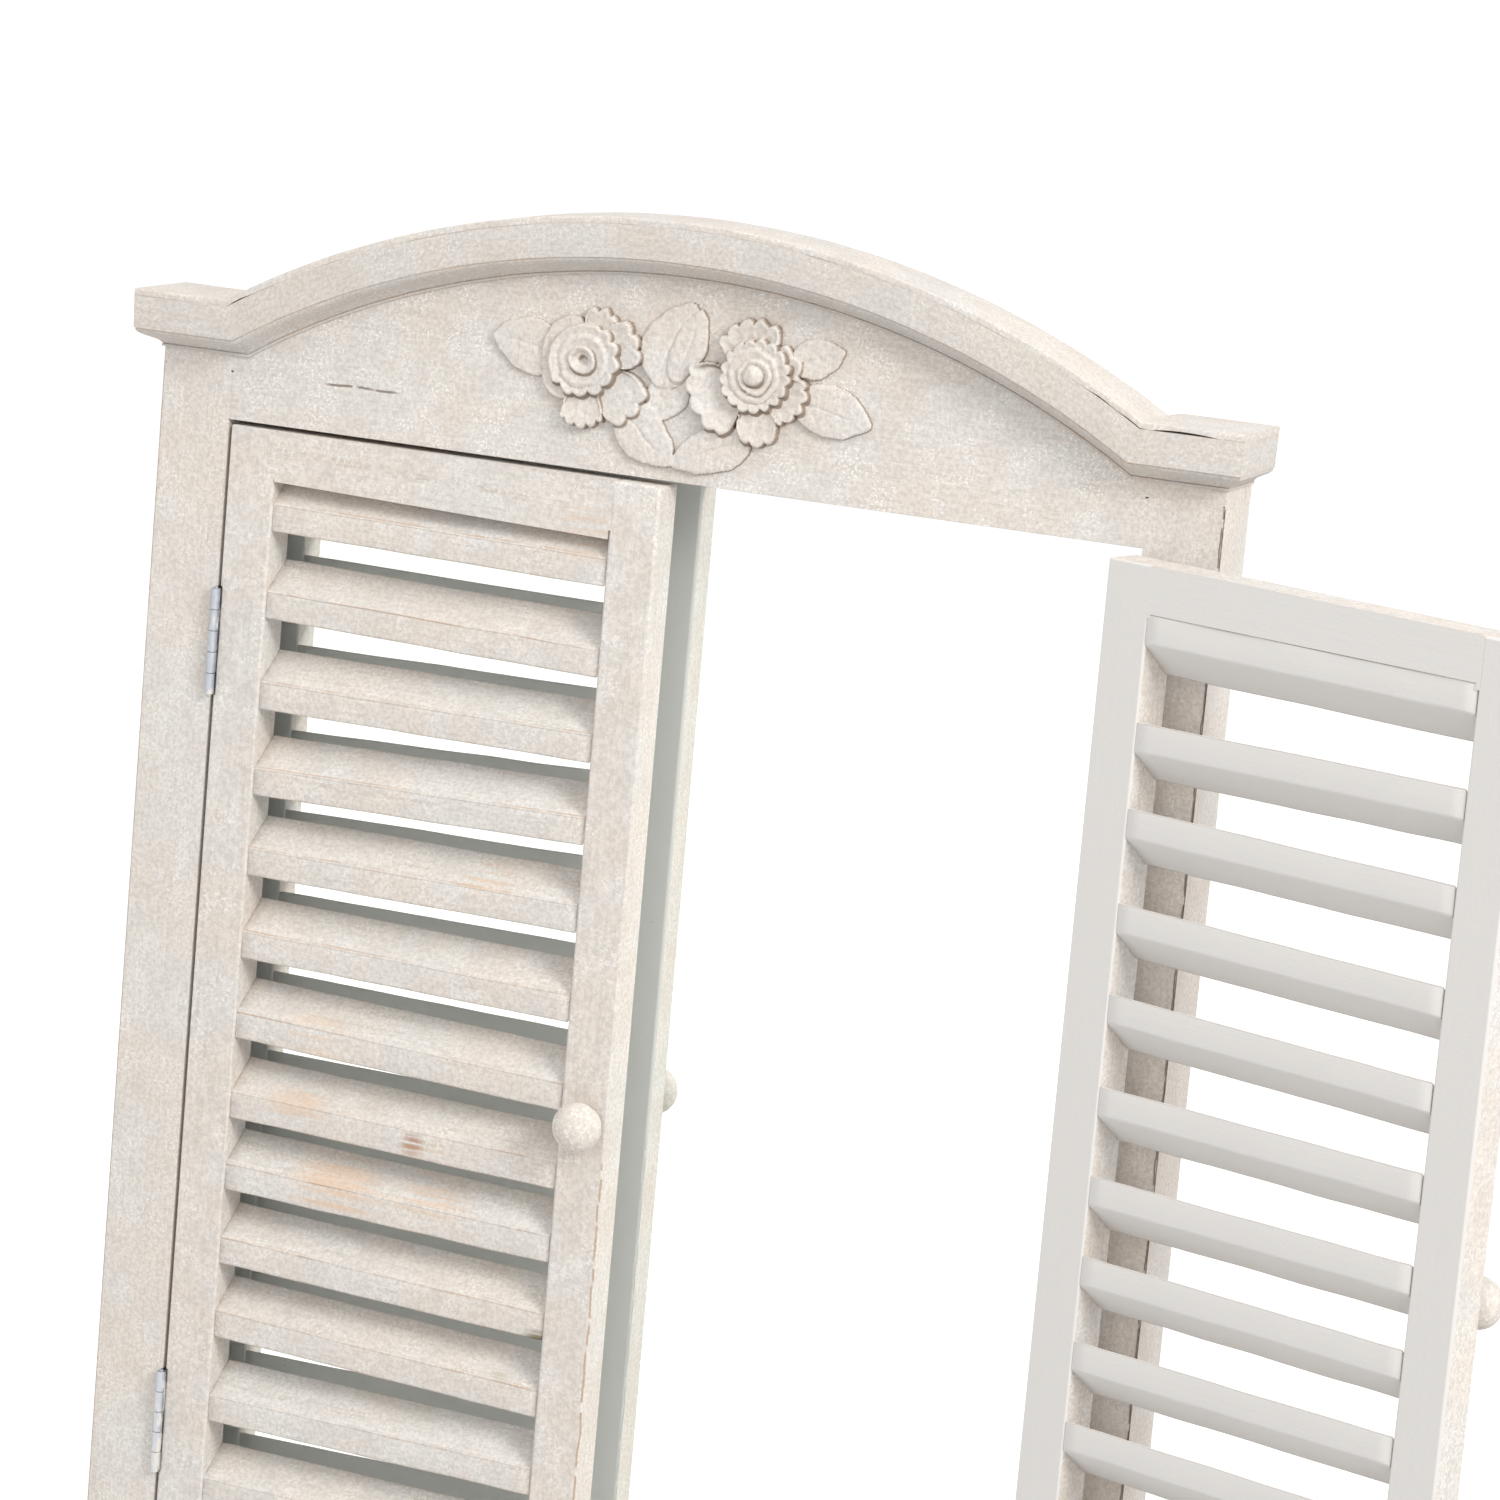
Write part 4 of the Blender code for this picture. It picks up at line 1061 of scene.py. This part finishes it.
post_splits = ((249 * MM, -330 * MM, 310 * MM),)
frame_upright = whitewash("whitewashed_upright_boards", splits=post_splits)
frame_level = whitewash("whitewashed_level_boards", grain="level", chalky=1.5,
                        seams=((HEADER_SEAM, -173 * MM, -131 * MM),))
# tone 0.89 darkens the whole cornice's colour: painted shade
moulding_wash = whitewash("whitewashed_cornice", grain="level", tone=0.89, rubbing=0.5, chalky=0.55,
                          along_uv=True)
cap_wash = whitewash("creamy_cap_lath", grain="level", along_uv=True, tone=0.95, chalky=0.9)
carved_wash = whitewash("whitewashed_carving", chalky=0.6, carved=True)
knob_wash = whitewash("chalky_knob_wash", tone=1.0, chalky=1.5)
zinc_metal = zinc()

for node_name in frame["nodes"]:
    if node_name.startswith(("left_post", "right_post")):
        dress(node_name, frame_upright)
        ease(node_name, 0.3 * MM)
for node_name in ("frame_top_rail", "frame_bottom_rail", "pediment_board"):
    dress(node_name, frame_level)
    ease(node_name, 0.3 * MM)
dress("mirror_glass", silvered_glass())
dress("back_board", hardboard())
for node_name in frame["nodes"]:
    if node_name.endswith(("hinge_frame_leaf", "hinge_shutter_leaf", "hanger_plate")):
        dress(node_name, zinc_metal)

for shutter in SIDES:
    marks = LEFT_STAINS if shutter == "left" else ()
    back = back_direction(shutter)
    angle = rest_angle(shutter)
    edge_split = ((-0.7 * MM, -300 * MM, -16 * MM),) if shutter == "left" else ()
    stile_wash = whitewash(f"{shutter}_stile_wash", turn=angle, back=back, stains=marks, splits=edge_split,
                           crack=BROWN_CRACK)
    slat_wash = whitewash(f"{shutter}_slat_wash", grain="level", turn=angle, back=back, stains=marks,
                          chalky=0.8, streaky=0.6, worn_arris=True)
    for node_name in frame["nodes"]:
        if not node_name.startswith(f"{shutter}_shutter_"):
            continue
        if "stile" in node_name:
            dress(node_name, stile_wash)
            ease(node_name, 0.5 * MM)
        elif "rail" in node_name:
            dress(node_name, slat_wash)
        elif "slat" in node_name:
            build_slat(shutter, node_name, slat_wash)
    build_knob(shutter, knob_wash)
    build_shutter_fillers(shutter, stile_wash)
    build_hinge_screws(shutter, zinc_metal)

build_moulding(moulding_wash)
build_cap(cap_wash)
build_roses(carved_wash)
build_fillers(frame_upright, frame_level)
build_hangers(zinc_metal)

build_stage()
build_light()
build_camera()
bpy.context.scene.view_settings.view_transform = "Standard"
